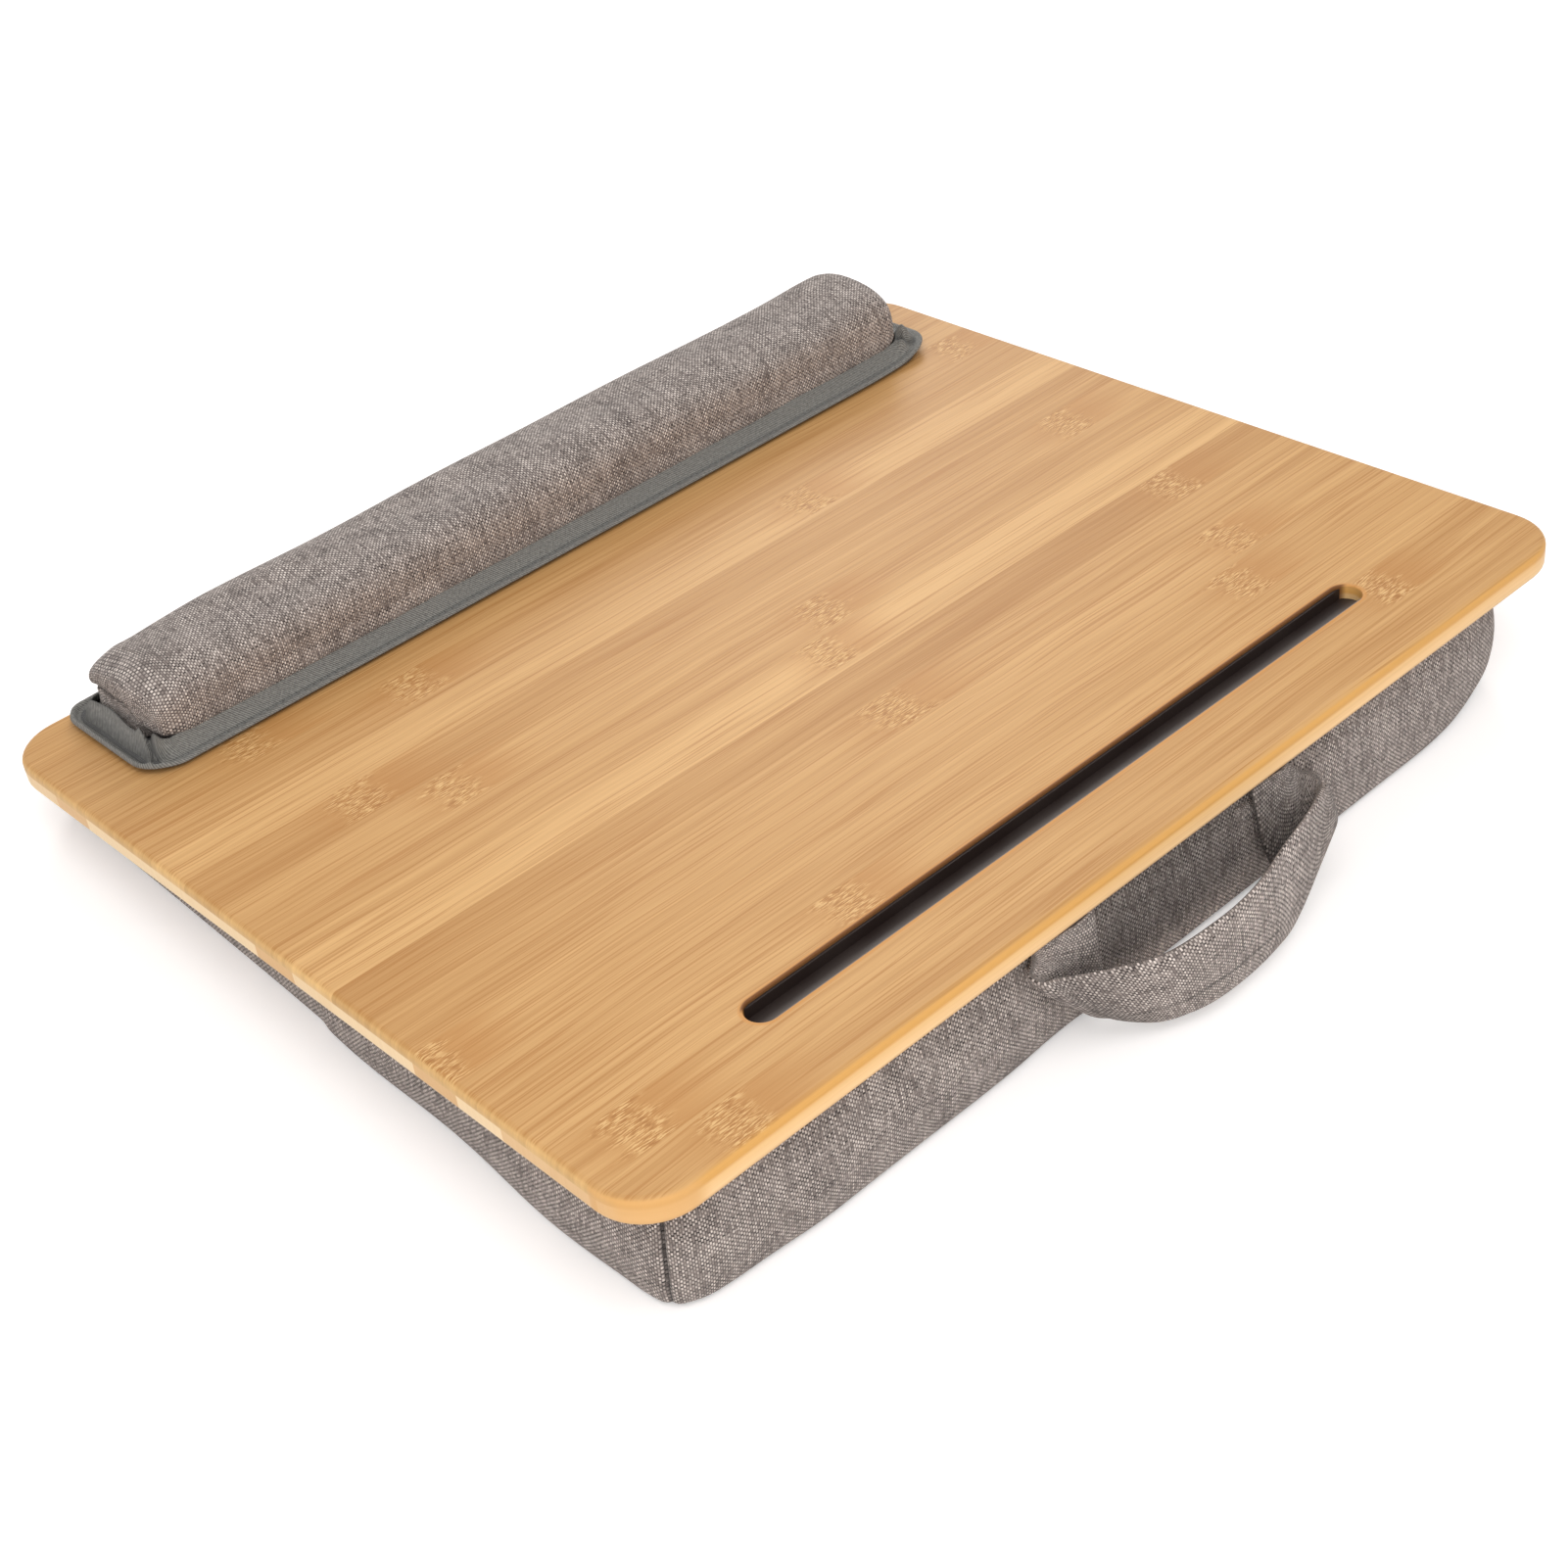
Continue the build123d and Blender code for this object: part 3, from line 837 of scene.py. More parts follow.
def cushionCover():
    c = cushion
    total = outlineParts(c)[-1]
    seams, rearMiddle = cushionSeams()
    along = cushionColumns(seams, total)
    rearX = rearMiddle - along
    outline, outward = roundedOutline(c, along)
    share = np.linspace(0, 1, c["wallRows"])[None, :]
    draw = wallDraw(along, rearX, share, seams[1])
    wallXY = outline[:, None, :] - outward[:, None, :] * draw[:, :, None]
    underBoard = -boardThickness - c["topGap"]
    lift = wallXY[..., 1] * math.tan(boardTilt) + boardMiddle + underBoard / math.cos(boardTilt)
    wall = np.concatenate([wallXY, (lift * share)[..., None]], axis=-1)

    # rows of the flat faces, from their middle out
    shares = np.array([0, 0.5, 0.82, 0.93, 0.975])
    bottom, top = [ring * np.array([1, 1, 0]) * shares[None, :, None] for ring in (wall[:, :1], wall[:, -1:])]
    top[..., 2] = top[..., 1] * math.tan(boardTilt) + boardMiddle + underBoard / math.cos(boardTilt)
    points = np.concatenate([bottom, wall, top[:, ::-1]], axis=1)

    # the cloth's map: the wall by length along the outline and height, the flat faces by place
    closed = np.concatenate([points, points[:1]], axis=0)
    flat = closed[..., :2].copy()
    lengths = np.append(along, along[0] + total)
    first, last = len(shares), len(shares) + c["wallRows"]
    flat[:, first:last, 0] = lengths[:, None]
    flat[:, first:last, 1] = closed[:, first:last, 2]
    piece = gridMesh("cushionCover", points, flat, closeU=True)
    countV = points.shape[1]
    rows = np.tile(np.arange(countV), len(points))
    held = (rows <= first) | (rows >= last - 1)
    swell(piece, held, pressure=3.0, cap=1.2 * mm)

    moved = readPoints(piece).reshape(len(points), countV, 3)
    rowShare = np.clip((np.arange(countV) - first) / (c["wallRows"] - 1), 0, 1)
    onWall = (np.arange(countV) >= first) & (np.arange(countV) < last)
    fade = (np.sin(math.pi * np.clip(rowShare, 0.12, 0.9)) * onWall)[None, :]
    sewCorners(moved, outward, along, seams, fade)
    writePoints(piece, moved.reshape(-1, 3))
    offSeam = np.min([np.abs(along - seam) for seam in seams], axis=0)[:, None] * np.ones((1, countV))
    paint(piece, "seamSide", offSeam)
    paint(piece, "seamShare", (fade > 0.05) * (offSeam < 8 * mm))
    # painted shade high inside the strap's loop and painted light at its foot, on the wall only
    paint(piece, "shade", loopPaintedShadeAndLight(rearX, moved[..., 2]) * onWall)
    closeMesh(piece, 0.02 * mm)
    smoothen(piece)
    panels = ("bottom", "top", "rear_wall", "front_wall", "left_wall", "right_wall")
    dress(piece, melange, "cushion", "melange", "cushion_foam", *["cushion_" + panel for panel in panels])


cushionCover()
print("cushion made")

# Wrist rest, in the board's frame: a bolster, the tape round its edge and the base under it
rest = {
    "middleY": -147.5 * mm,
    "halfLength": 185.0 * mm,
    "halfWidth": 24.8 * mm,
    "seat": 2.6 * mm,
    "top": 32.8 * mm,
    "rightRound": 10 * mm,
    "leftRound": 8 * mm,
    "rightSideDrop": 0.2,
    "leftSideDrop": 0.16,
    "rightDrop": 0.16,
    "leftDrop": 0.08,
    "capBulge": 0.6 * mm,
    "slope": 4.2 * mm,
    "slopeLength": 48 * mm,
    # where along the roll its crown is higher or lower: X, reach and height
    "uneven": ((-45 * mm, 60 * mm, 0.9 * mm), (105 * mm, 60 * mm, -0.8 * mm), (-174 * mm, 18 * mm, 1.5 * mm)),
    "roundness": 2.6,
    "lowRoundness": 4.5,
    "bodyRows": 76,
    "columns": 104,
}


# A cross-section is a superellipse, squarer below its waist, with its columns evenly spaced round it.
# Towards each end it gets lower by a quarter ellipse and slightly narrower, and an end panel closes it.
def bolsterSection(angle):
    power = np.where(np.sin(angle) > 0, 2 / rest["roundness"], 2 / rest["lowRoundness"])
    across = np.sign(np.cos(angle)) * np.abs(np.cos(angle)) ** power
    up = np.sign(np.sin(angle)) * np.abs(np.sin(angle)) ** power
    return across, up


def columnAngles():
    r = rest
    fullTurn = np.linspace(0, 2 * math.pi, 2881)
    across, up = bolsterSection(fullTurn)
    steps = np.hypot(np.diff(across) * r["halfWidth"], np.diff(up) * (r["top"] - r["seat"]) / 2)
    around = np.append(0, np.cumsum(steps))
    return np.interp(np.linspace(0, around[-1], r["columns"], endpoint=False), around, fullTurn)


# The rows of one end, from the body out: their X, their share of the full section, and how far they fall
def bolsterEnd(end):
    r = rest
    radius = r[end + "Round"]
    turn = np.linspace(0, math.pi / 2, 12)[1:]
    roundOff = 1 - np.cos(turn)
    edgeShare = 1 - r[end + "SideDrop"] * roundOff
    roundX = r["halfLength"] - radius + radius * np.sin(turn)
    capShare = np.array([0.93, 0.85, 0.76, 0.66, 0.55, 0.43, 0.3, 0.15, 0.0])
    capX = r["halfLength"] + r["capBulge"] * (1 - capShare**2)
    fall = r[end + "Drop"] * np.append(roundOff, np.ones(len(capShare)))
    return np.append(roundX, capX), np.append(edgeShare, capShare * edgeShare[-1]), fall


def bolsterPiece():
    r = rest
    waist = r["seat"] + 12.5 * mm
    angle = columnAngles()
    across, up = bolsterSection(angle)
    body = np.linspace(r["leftRound"] - r["halfLength"], r["halfLength"] - r["rightRound"], r["bodyRows"])
    (leftX, leftShare, leftFall), (rightX, rightShare, rightFall) = bolsterEnd("left"), bolsterEnd("right")
    x = np.concatenate([-leftX[::-1], body, rightX])
    share = np.concatenate([leftShare[::-1], np.ones(len(body)), rightShare])
    fall = np.concatenate([leftFall[::-1], np.zeros(len(body)), rightFall])
    topHeight = (r["top"] - waist) * (1 - fall[:, None] * 1.25)
    lowHeight = waist - r["seat"]
    height = np.where(up[None, :] > 0, topHeight, lowHeight) * up[None, :] * share[:, None]
    y = r["halfWidth"] * across[None, :] * share[:, None]
    z = waist - fall[:, None] * 4 * mm - (1 - share[:, None]) * 4 * mm + height
    xs = np.repeat(x[:, None], len(angle), axis=1)
    # slight bends of the whole roll, hollows where the filling is thin and a fall to the right end
    y = y + 0.6 * mm * np.sin(xs / 0.11 + 0.6)
    crown = np.clip(up, 0, 1)[None, :]
    z = z + crown * ripples(xs, y * 2, 60 * mm, 11) * 0.5 * mm
    uneven = sum(size * bump(xs, middle, reach) for middle, reach, size in r["uneven"])
    downhill = np.clip((xs - r["halfLength"] + r["slopeLength"]) / r["slopeLength"], 0, 1) ** 1.6
    z = z + crown * (uneven - r["slope"] * downhill)
    z = np.maximum(z, r["seat"])
    points = np.stack([xs, y + r["middleY"], z], axis=-1)

    girth = np.cumsum(np.append(0, np.linalg.norm(np.diff(points[len(x) // 2], axis=0), axis=1)))
    girth = np.append(girth, girth[-1] + girth[1])
    radial = -np.cumsum(np.append(0, np.hypot(np.diff(x), np.diff(share * (1 - fall)) * r["halfWidth"])))
    map2d = together(radial[:, None], girth[None, :])
    piece = gridMesh("restBolster", fromBoard(points), map2d, closeV=True)
    rows = np.repeat(np.arange(len(x)), len(angle))
    held = (z.ravel() < r["seat"] + 1.5 * mm) | (rows < 1) | (rows > len(x) - 2)
    swell(piece, held, pressure=0.3, cap=0.7 * mm)
    closeMesh(piece, 0.02 * mm)
    bakeRounding(piece)
    gatherEnds(piece)
    dress(piece, melange, "wrist_rest", "melange", "rest_cover", "rest_foam")


# Each end panel is sewn in along a line that dives to the tape at the front. The seam draws in, the
# panel below it flares out, and the cloth above is gathered: it bulges out over the seam in folds.
gathers = {
    "pitch": 5.2 * mm,
    "folds": 0.5 * mm,
    "rightBulge": 4.6 * mm,
    "leftBulge": 3.2 * mm,
    "crease": 1.7 * mm,
    # the right end's shoulder sits back from the front
    "setBack": 1.6 * mm,
    "stitchPitch": 2.6 * mm,
}


def gatherEnds(piece):
    r, g = rest, gathers
    place = toBoard(readPoints(piece))
    x, y, z = place[:, 0], place[:, 1] - r["middleY"], place[:, 2]
    side = np.sign(x)
    line = 14.6 * mm - 8 * mm * easeStep(y, 3 * mm, 15 * mm) - 1.2 * mm * easeStep(-y, 14 * mm, 22 * mm)
    atEnd = easeStep(np.abs(x), r["halfLength"] - 7 * mm, r["halfLength"] - 0.5 * mm)
    atShoulder = easeStep(np.abs(x), r["halfLength"] - 16 * mm, r["halfLength"] - 3 * mm)
    above = easeStep(z, line - np.where(side > 0, 5, 4) * mm, line + 4 * mm)
    bulge = np.where(side > 0, g["rightBulge"], g["leftBulge"]) * above
    bulge = bulge * (1 - 0.6 * easeStep(z, 23 * mm, 33 * mm))
    bulge = bulge * (1 - 0.4 * easeStep(y, 6 * mm, 20 * mm))
    flare = 1.8 * (1 - above) + 3.0 * np.clip((line - z) / (9 * mm), 0, 1)
    flare = np.where(side > 0, 1, 0.85) * mm * flare * (1 - easeStep(y, 6 * mm, 18 * mm))
    crease = g["crease"] * bump(z, line, 0.9 * mm)
    folds = np.cos(y * 2 * math.pi / g["pitch"] + 1.3 * np.sin(y * 190) + x * 60)
    folds = g["folds"] * folds * np.exp(-np.abs(z - line) / (5 * mm)) * atShoulder * above
    place[:, 0] += side * ((bulge + flare - crease) * atEnd + folds)
    upFront = easeStep(-y, 4 * mm, 16 * mm) * easeStep(z, 12 * mm, 20 * mm)
    place[:, 1] -= g["setBack"] * (side > 0) * atShoulder * upFront
    place[:, 2] += 0.8 * folds
    writePoints(piece, fromBoard(place))
    paint(piece, "seamSide", (z - line) * 0.5)
    stitches = 0.8 + 0.2 * np.sin(y * 2 * math.pi / g["stitchPitch"])
    paint(piece, "seamShare", atEnd * stitches)
    # painted shade just above the end seam, and painted light on the panel below it
    paint(piece, "shade", atEnd * (0.6 * bump(z, line + 0.4 * mm, 1.6 * mm) - 0.15 * (z < line)))


bolsterPiece()

tape = {
    "halfX": 198.6 * mm,
    "halfY": 34.0 * mm,
    "radius": 14 * mm,
    "width": 11.0 * mm,
    "thickness": 1.3 * mm,
    "rimHeight": 2.7 * mm,
    "innerHeight": 7.4 * mm,
    "columnGap": 1.6 * mm,
    # the profile from the folded rim in over the top and back below: share of the width, and 1 on top
    "inward": (
        0, 0.03, 0.08, 0.14, 0.2, 0.25, 0.29, 0.34, 0.43, 0.52, 0.61, 0.7, 0.78, 0.86, 0.93, 0.985,
        1, 0.97, 0.85, 0.6, 0.35, 0.12, 0.02,
    ),
    "onTop": (0.45, 0.8, *[1] * 13, 0.85, 0.4, 0.05, 0, 0, 0, 0, 0.15),
    # the tuft at the left end's front corner: X and Y of each lump, its height and its reach
    "lumps": (
        (-191.2 * mm, 22.2 * mm, 6.4 * mm, 3.0 * mm),
        (-186.5 * mm, 26.2 * mm, 3.4 * mm, 1.8 * mm),
        (-196.5 * mm, 18.5 * mm, 2.2 * mm, 2.6 * mm),
    ),
    "hole": (-188.2 * mm, 23.8 * mm),
    "tip": 3.6 * mm,
    "tipLift": 3.0 * mm,
}


# The left end's front corner is drawn in along a long curve, by the square of the way past 155 mm.
def leftTaper(xy):
    past = np.clip((-xy[..., 0] - 155 * mm) / (43 * mm), 0, 1.1)
    return 3 * mm * past**2 * np.clip(xy[..., 1] / tape["halfY"], 0, 1)


# Columns stand closer at the two front corners, where the folds are.
def tapeColumns(total):
    t = tape
    even = np.arange(0, total, t["columnGap"])
    frontCorners = (t["halfY"] - t["radius"], total / 2 - t["halfY"] + t["radius"])
    finer = [np.arange(corner - 20 * mm, corner + 42 * mm, t["columnGap"] / 2) for corner in frontCorners]
    clear = np.all([np.abs(even - corner - 11 * mm) > 32 * mm for corner in frontCorners], axis=0)
    return np.sort(np.unique(np.mod(np.concatenate([even[clear]] + finer), total)))


# The next three functions change the tape's height in place.
# A pleat at the right end's front corner: two ridges with a deep crease between them. Gives the crease.
def frontPleat(height, xy, onTop):
    fromX, fromY = xy[..., 0] - 191.5 * mm, xy[..., 1] - 14.5 * mm
    ahead = fromX * 0.36 + fromY * 0.93
    beside = fromX * 0.93 - fromY * 0.36
    inPleat = within(ahead, -4 * mm, 0, 11 * mm, 16 * mm) * (onTop > 0.3)
    ridges = bump(beside, 0, 1.0 * mm) + 0.9 * bump(beside, -4.2 * mm, 1.2 * mm)
    height += inPleat * (2.6 * mm * ridges - 2.2 * mm * bump(beside, -2.1 * mm, 0.8 * mm))
    return inPleat * bump(beside, -2.1 * mm, 1.0 * mm)


# A tuft at the left end's front corner: lumps beside a hole. Gives the hole.
def frontTuft(height, xy, onTop):
    for *lump, size, spread in tape["lumps"]:
        height += size * bump(distanceTo(lump, xy), 0, spread) * (onTop > 0.3)
    hole = bump(distanceTo(tape["hole"], xy), 0, 1.1 * mm)
    height -= 3 * mm * hole * (onTop > 0.3)
    return hole


# A smaller pleat at each rear corner
def rearPleats(height, xy, inside):
    for cornerX in (1, -1):
        offX, offY = xy[..., 0] * cornerX - 186.8 * mm, -xy[..., 1] - 22.2 * mm
        atCorner = easeStep(offX + offY, -8 * mm, -2 * mm) * np.clip((inside - 0.28) / 0.4, 0, 1)
        across = (offX - offY) / math.sqrt(2)
        height += 0.9 * mm * atCorner * (bump(across, 0, 1.5 * mm) - bump(across, 2.6 * mm, 1.2 * mm))


# The tape's profile runs in from its folded rim, over a stitched groove and up to the bolster, round its
# inner edge and back below. It is carried round the outline with a fold at each corner.
def tapePiece():
    t = tape
    total = outlineParts(t)[-1]
    along = tapeColumns(total)
    outline, outward = roundedOutline(t, along)
    inward, onTop = np.array(t["inward"]), np.array(t["onTop"])
    rise = (t["innerHeight"] - t["rimHeight"]) * np.clip((inward - 0.27) / 0.73, 0, 1) ** 1.1
    rim = 0.3 * mm * bump(inward, 0.14, 0.1)
    z = np.maximum(t["rimHeight"] + rise + rim - (1 - onTop) * t["thickness"], 0.5 * mm)
    x, y = outline[:, 0], outline[:, 1]
    inside = inward[None, :]
    reach = t["width"] * inside * np.ones((len(along), 1))
    height = z[None, :] * np.ones((len(along), 1))
    grooved = 0.6 - 0.4 * easeStep(-x, -50 * mm, 120 * mm)[:, None]
    height -= grooved * mm * bump(inside, 0.28, 0.045) * (onTop > 0.9)

    # at the right end the tape is a gutter between a thick rim and its upright inner edge, at the left end
    # its rounded tip lifts off the board
    rightEnd = easeStep(x, 186.5 * mm, 195 * mm)[:, None]
    leftEnd = easeStep(-x, 176 * mm, 197 * mm)[:, None]
    gutter = 2.4 * mm * inside**2 + 1.5 * mm * bump(inside, 0.1, 0.14) - 3.4 * mm * bump(inside, 0.52, 0.2)
    height += rightEnd * gutter + leftEnd * t["tipLift"] * (1 - 0.5 * inside)
    height += ripples(along[:, None], reach, 34 * mm, 21) * 0.3 * mm * inside
    xy = outline[:, None, :] - outward[:, None, :] * reach[..., None]
    puckers = 0.8 * mm * inside**2 * np.sin(y / (5.2 * mm))[:, None]
    xy[..., 0] += rightEnd * (2.2 * mm + 1.2 * mm * inside + puckers)
    xy[..., 0] += leftEnd * t["tip"] * (inside - 1)
    xy[..., 1] -= leftTaper(xy) * (1 - 0.6 * inside)
    creased = frontPleat(height, xy, onTop)
    hole = frontTuft(height, xy, onTop)
    rearPleats(height, xy, inside)
    height = np.maximum(height, 0.5 * mm)
    points = np.concatenate([xy, height[..., None]], axis=-1)
    points[..., 1] += rest["middleY"]
    girth = np.cumsum(np.append(0, np.hypot(np.diff(inward) * t["width"], np.diff(z))))
    girth = np.append(girth, girth[-1] + girth[1])
    map2d = together(np.append(along, total)[:, None], girth[None, :])
    piece = gridMesh("restTape", fromBoard(points), map2d, closeU=True, closeV=True)
    # painted shade in the right end's gutter and under its inner edge, in the front pleat's crease, in the
    # tuft's hole and along the tuft's front edge
    deep = rightEnd * bump(inside, 0.5, 0.2) * 0.45 + creased * 0.8 + hole
    tuftEdge = bump(distanceTo(t["lumps"][0], xy), 4.6 * mm, 1.0 * mm)
    inFront = easeStep(xy[..., 1] - xy[..., 0] * 0.2, 54.5 * mm, 58.5 * mm)
    deep = deep + 0.8 * tuftEdge * inFront * (onTop > 0.3)
    paint(piece, "shade", np.clip(deep + 0.8 * rightEnd * bump(inside, 1.0, 0.06), 0, 1))
    # no stitches show on the ends
    paint(piece, "seamShare", np.clip(rightEnd + leftEnd, 0, 1) * np.ones_like(inside))
    closeMesh(piece, 0.002 * mm)
    smoothen(piece)
    dress(piece, tapeFinish, "wrist_rest", "tape", "rest_binding")


tapePiece()


# The base: a flat sheet with a rounded edge, from the middle of its underside to the middle of its top
def basePiece():
    t = tape
    along = np.linspace(0, outlineParts(t)[-1], 260, endpoint=False)
    outline, _ = roundedOutline(t, along)
    inset = np.array([34, 30, 24, 12, 4, 2.2, 1.6])
    inset = np.concatenate([inset, [1.4], inset[::-1]]) * mm
    height = np.array([*[0.35] * 5, 0.4, 0.7, 1.2, 1.7, 2.0, *[2.1] * 5]) * mm
    share = np.clip(inset / t["halfY"], 0, 1)[None, :]
    halfMiddle = t["halfX"] - t["halfY"] - 0.6 * mm
    middle = np.stack([np.clip(outline[:, 0], -halfMiddle, halfMiddle), np.zeros(len(along))], axis=-1)
    xy = outline[:, None, :] * (1 - share[..., None]) + middle[:, None, :] * share[..., None]
    xy[..., 1] -= leftTaper(xy)
    points = np.concatenate([xy, np.repeat(height[None, :, None], len(along), axis=0)], axis=-1)
    points[..., 1] += rest["middleY"]
    closed = np.concatenate([points, points[:1]], axis=0)
    piece = gridMesh("restBase", fromBoard(points), closed[..., :2], closeU=True)
    closeMesh(piece, 0.05 * mm)
    dress(piece, underCloth, "wrist_rest", "melange", "rest_base")


basePiece()
print("wrist rest made")

# Carrying strap: a flat tube of cloth. Each row gives the two edges of the strap in millimetres, from
# the seam on the right, down its leg, over the fold, along the hanging stretch and back to the seam.
strap = {
    "edges": (
        ((64, 178.6, 49.6), (33.6, 178.6, 49.6)),
        ((64.5, 179.9, 47.6), (32.6, 179.9, 31)),
        ((65.5, 180.2, 45.2), (30.5, 180.2, 16)),
        ((67.6, 181.6, 43.6), (36, 181.4, 9.5)),
        ((66.4, 184.6, 42.2), (37.5, 185, 8.2)),
        ((60, 186.2, 40.2), (33, 189, 5.2)),
        ((46, 193.8, 39.2), (26, 199.0, 4.8)),
        ((28, 201.4, 37.8), (14, 204.8, 4.8)),
        ((5, 204, 37.8), (-1, 207.2, 4.8)),
        ((-18, 203.4, 39.0), (-15, 207.4, 4.8)),
        ((-37, 199.2, 41.0), (-27, 206.2, 4.8)),
        ((-51, 196.4, 42.2), (-39, 203.8, 5)),
        ((-61, 194, 43.4), (-51, 201, 12)),
        ((-67.5, 190.6, 45), (-66.5, 196.6, 26)),
        ((-68, 187.4, 46), (-62.5, 192.4, 15)),
        ((-67, 184.6, 46.4), (-53, 188, 9.5)),
        ((-65.6, 183, 46.6), (-47, 185, 21)),
        ((-64.4, 181.0, 48.2), (-44.4, 181.6, 38)),
        ((-63.4, 178.8, 49.6), (-43.5, 178.8, 49.6)),
    ),
    "thickness": 4.2 * mm,
    # half of the width that the cloth's map takes for the whole strap
    "mapHalf": 18 * mm,
    # the stitched crease: its place across the strap, from -1 to 1, and its depth
    "creaseAt": 0.4,
    "crease": 0.5 * mm,
    "rows": 240,
    # shares of the strap's length where its right and left folds lie
    "rightFold": 0.2,
    "leftFold": 0.76,
    "columns": 30,
}


# The middle sheet runs straight from edge to edge. A flattened oval profile is carried along it, thick
# across the sheet, with a stitched crease along the middle of its outer side.
def strapPiece():
    s = strap
    edges = np.array(s["edges"], dtype=float) * mm
    middle = edges.mean(axis=1)
    steps = np.linalg.norm(np.diff(edges, axis=0), axis=2).mean(axis=1)
    lengths = np.concatenate([[0], np.cumsum(np.maximum(steps, 0.8 * mm))])
    samples = np.linspace(0, lengths[-1], s["rows"])
    upper = smoothLine(edges[:, 0], lengths, samples)
    lower = smoothLine(edges[:, 1], lengths, samples)
    turn = np.linspace(0, 2 * math.pi, s["columns"], endpoint=False)
    across = np.sign(np.cos(turn)) * np.abs(np.cos(turn)) ** 0.55
    thick = np.sign(np.sin(turn)) * np.abs(np.sin(turn)) ** 0.8
    centre = (upper + lower) / 2
    spread = (lower - upper) / 2
    width = np.linalg.norm(spread, axis=1, keepdims=True)
    forward = np.gradient(centre, axis=0)
    sheetNormal = np.cross(spread, forward)
    sheetNormal /= np.linalg.norm(sheetNormal, axis=1, keepdims=True)
    inset = 1 - 0.6 * mm / width
    points = centre[:, None, :] + spread[:, None, :] * inset[:, None, :] * across[None, :, None]
    runShare = (samples / lengths[-1])[:, None]
    creased = bump(runShare, 0.42, 0.2)
    crease = s["crease"] * bump(across, s["creaseAt"], 0.07) * (thick > 0) * creased
    onMap = across * s["mapHalf"]
    bulge = 1 + 0.25 * ripples(samples[:, None], onMap[None, :], 26 * mm, 5) + 0.35 * (1 - across**2)
    offset = thick[None, :] * bulge * s["thickness"] / 2 - crease
    points = points + sheetNormal[:, None, :] * offset[..., None]
    girth = -np.append(onMap + (thick < 0) * 50 * mm, onMap[0])
    run = np.cumsum(np.append(0, np.linalg.norm(np.diff(centre, axis=0), axis=1)))
    map2d = together(run[:, None], girth[None, :])
    piece = gridMesh("strapSleeve", points, map2d, closeV=True)
    offCrease = (across - s["creaseAt"]) * s["mapHalf"]
    paint(piece, "seamSide", offCrease[None, :] * np.ones_like(creased))
    paint(piece, "seamShare", creased * (thick > 0)[None, :] * 0.8)
    # painted shade on the left leg and the right fold, which lie in shadow, and painted light
    # that makes the hanging stretch a little paler
    leftLeg = easeStep(runShare, s["leftFold"], s["leftFold"] + 0.04) * (1 - 0.5 * easeStep(runShare, 0.9, 1))
    rightLeg = 0.6 * bump(runShare, s["rightFold"], 0.05)
    dark = (leftLeg + rightLeg) * (0.35 + 0.5 * easeStep(across, -0.6, 0.9))[None, :]
    band = within(runShare, s["rightFold"], 0.35, 0.6, s["leftFold"])
    paint(piece, "shade", dark - 0.17 * band)
    closeMesh(piece)
    smoothen(piece)
    dress(piece, melange, "handle", "melange", "handle_sleeve", "handle_webbing")


strapPiece()


# Tabs: two small patches of the same cloth under the strap's ends on the rear wall. Each is a
# rectangle with round edges in cross-section, carried along X, and ends below the strap's roots.
def tabPiece(name, low, high):
    x = np.linspace(low[0], high[0], 14)[:, None]
    turn = np.linspace(0, 2 * math.pi, 20, endpoint=False)[None, :]
    middle, half = (np.array(low) + high) / 2, (np.array(high) - low) / 2
    z = middle[2] + half[2] * np.sign(np.cos(turn)) * np.abs(np.cos(turn)) ** 0.5
    y = middle[1] + half[1] * np.sign(np.sin(turn)) * np.abs(np.sin(turn)) ** 0.6
    points = together(x, y, z)
    girth = np.linspace(0, 30 * mm, 21)[None, :]
    map2d = together(x, girth)
    piece = gridMesh(name, points, map2d, closeV=True)
    closeMesh(piece)
    return piece


tabLow, tabHigh = [list(corner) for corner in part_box("handle_tabs")]
tabHigh[2] = 41 * mm
tabSpan = 24 * mm
rightTab = tabPiece("strapTabRight", (tabHigh[0] - tabSpan, tabLow[1], tabLow[2]), tabHigh)
leftTab = tabPiece("strapTabLeft", tabLow, (tabLow[0] + tabSpan, tabHigh[1], tabHigh[2]))
dress(rightTab, melange, "cushion", "melange", "handle_tabs")
dress(leftTab, melange, "cushion", "melange")
print("strap made")

# Studio: a pale floor, a white surround, a broad lamp overhead and a softer one beside the camera
studio = {
    "floorHalf": 4.0,
    "floorDrop": 0.4 * mm,
    "floorTone": colour(0.9, 0.872, 0.858),
    "floorGlow": 0.3,
    "surround": 0.62,
    # name, place, width and power of each lamp
    "lamps": (
        ("farLamp", (-0.95, -1.15, 0.85), 0.8, 7.5),
        ("overheadLamp", (0.45, 0.6, 1.4), 1.0, 8.6),
        ("cameraSideLamp", (1.2, 1.3, 0.7), 1.2, 7.8),
    ),
    "aim": (0.0569, 0.0607, 0.047),
    "distance": 0.8313,
    "azimuth": 139.42,
    "elevation": 39.256,
    "roll": -4.622,
    "lens": 56.3,
}


# 1 for rays that meet a surface straight from the camera or by a reflection, 0 for those that light it
def seenShare(tree):
    rays = [source(tree, "LightPath", kind) for kind in ("Is Camera Ray", "Is Glossy Ray")]
    return calc("MAXIMUM", *rays)


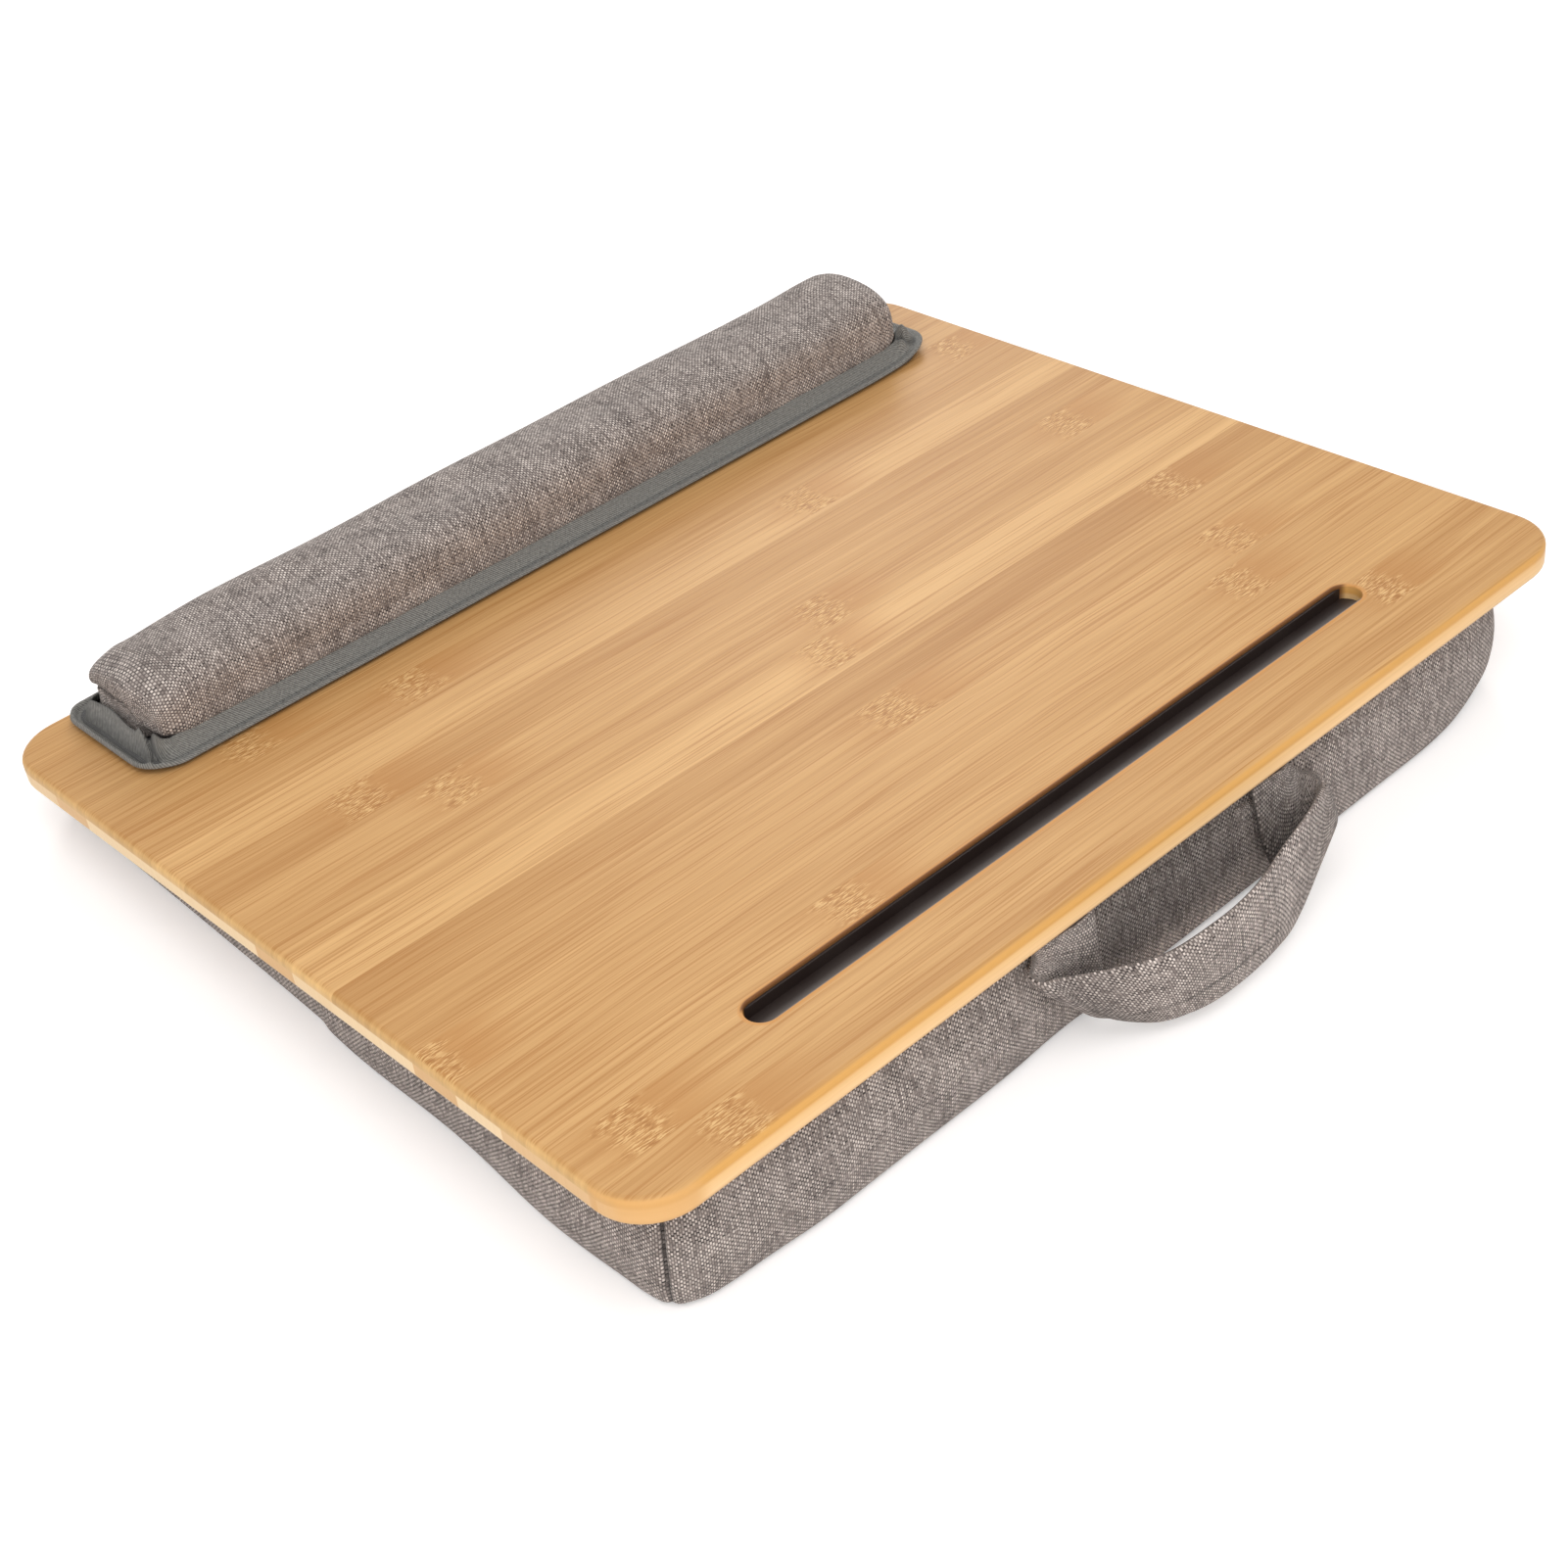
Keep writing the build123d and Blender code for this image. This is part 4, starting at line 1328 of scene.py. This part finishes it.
def floorPiece():
    edge = np.array([-studio["floorHalf"], studio["floorHalf"]])
    x, y = np.meshgrid(edge, edge, indexing="ij")
    points = np.stack([x, y, np.full_like(x, -studio["floorDrop"])], axis=-1)
    piece = gridMesh("studioFloor", points, points[..., :2])
    material, tree, inputs = newMaterial("studioFloor", 0.9, 0.0)
    feed(studio["floorTone"], inputs["Base Color"])
    feed(colour(1, 1, 1), inputs["Emission Color"])
    feed(seenShare(tree) * studio["floorGlow"], inputs["Emission Strength"])
    piece.data.materials.append(material)


def surround():
    world = bpy.data.worlds.new("studio")
    world.use_nodes = True
    tree = world.node_tree
    back = tree.nodes["Background"]
    feed(colour(1, 1, 1), back.inputs["Color"])
    feed(seenShare(tree) * (1 - studio["surround"]) + studio["surround"], back.inputs["Strength"])
    bpy.context.scene.world = world


def lamp(name, place, size, power):
    light = bpy.data.lights.new(name, "AREA")
    light.shape = "DISK"
    light.size = size
    light.energy = power
    piece = bpy.data.objects.new(name, light)
    direction = Vector(studio["aim"]) - Vector(place)
    turn = direction.to_track_quat("-Z", "Y").to_matrix().to_4x4()
    piece.matrix_world = Matrix.Translation(place) @ turn
    bpy.context.scene.collection.objects.link(piece)


def cameraPiece():
    azimuth, elevation = math.radians(studio["azimuth"]), math.radians(studio["elevation"])
    level = math.cos(elevation)
    back = Vector((math.sin(azimuth) * level, -math.cos(azimuth) * level, math.sin(elevation)))
    data = bpy.data.cameras.new("photoCamera")
    data.lens = studio["lens"]
    data.sensor_width = 36
    data.clip_start = 0.01
    piece = bpy.data.objects.new("photoCamera", data)
    place = Matrix.Translation(Vector(studio["aim"]) + back * studio["distance"])
    turn = back.to_track_quat("Z", "Y").to_matrix().to_4x4()
    piece.matrix_world = place @ turn @ Matrix.Rotation(math.radians(studio["roll"]), 4, "Z")
    bpy.context.scene.collection.objects.link(piece)
    bpy.context.scene.camera = piece


floorPiece()
surround()
for lampSettings in studio["lamps"]:
    lamp(*lampSettings)
cameraPiece()
bpy.context.scene.view_settings.view_transform = "Standard"
print("studio made")
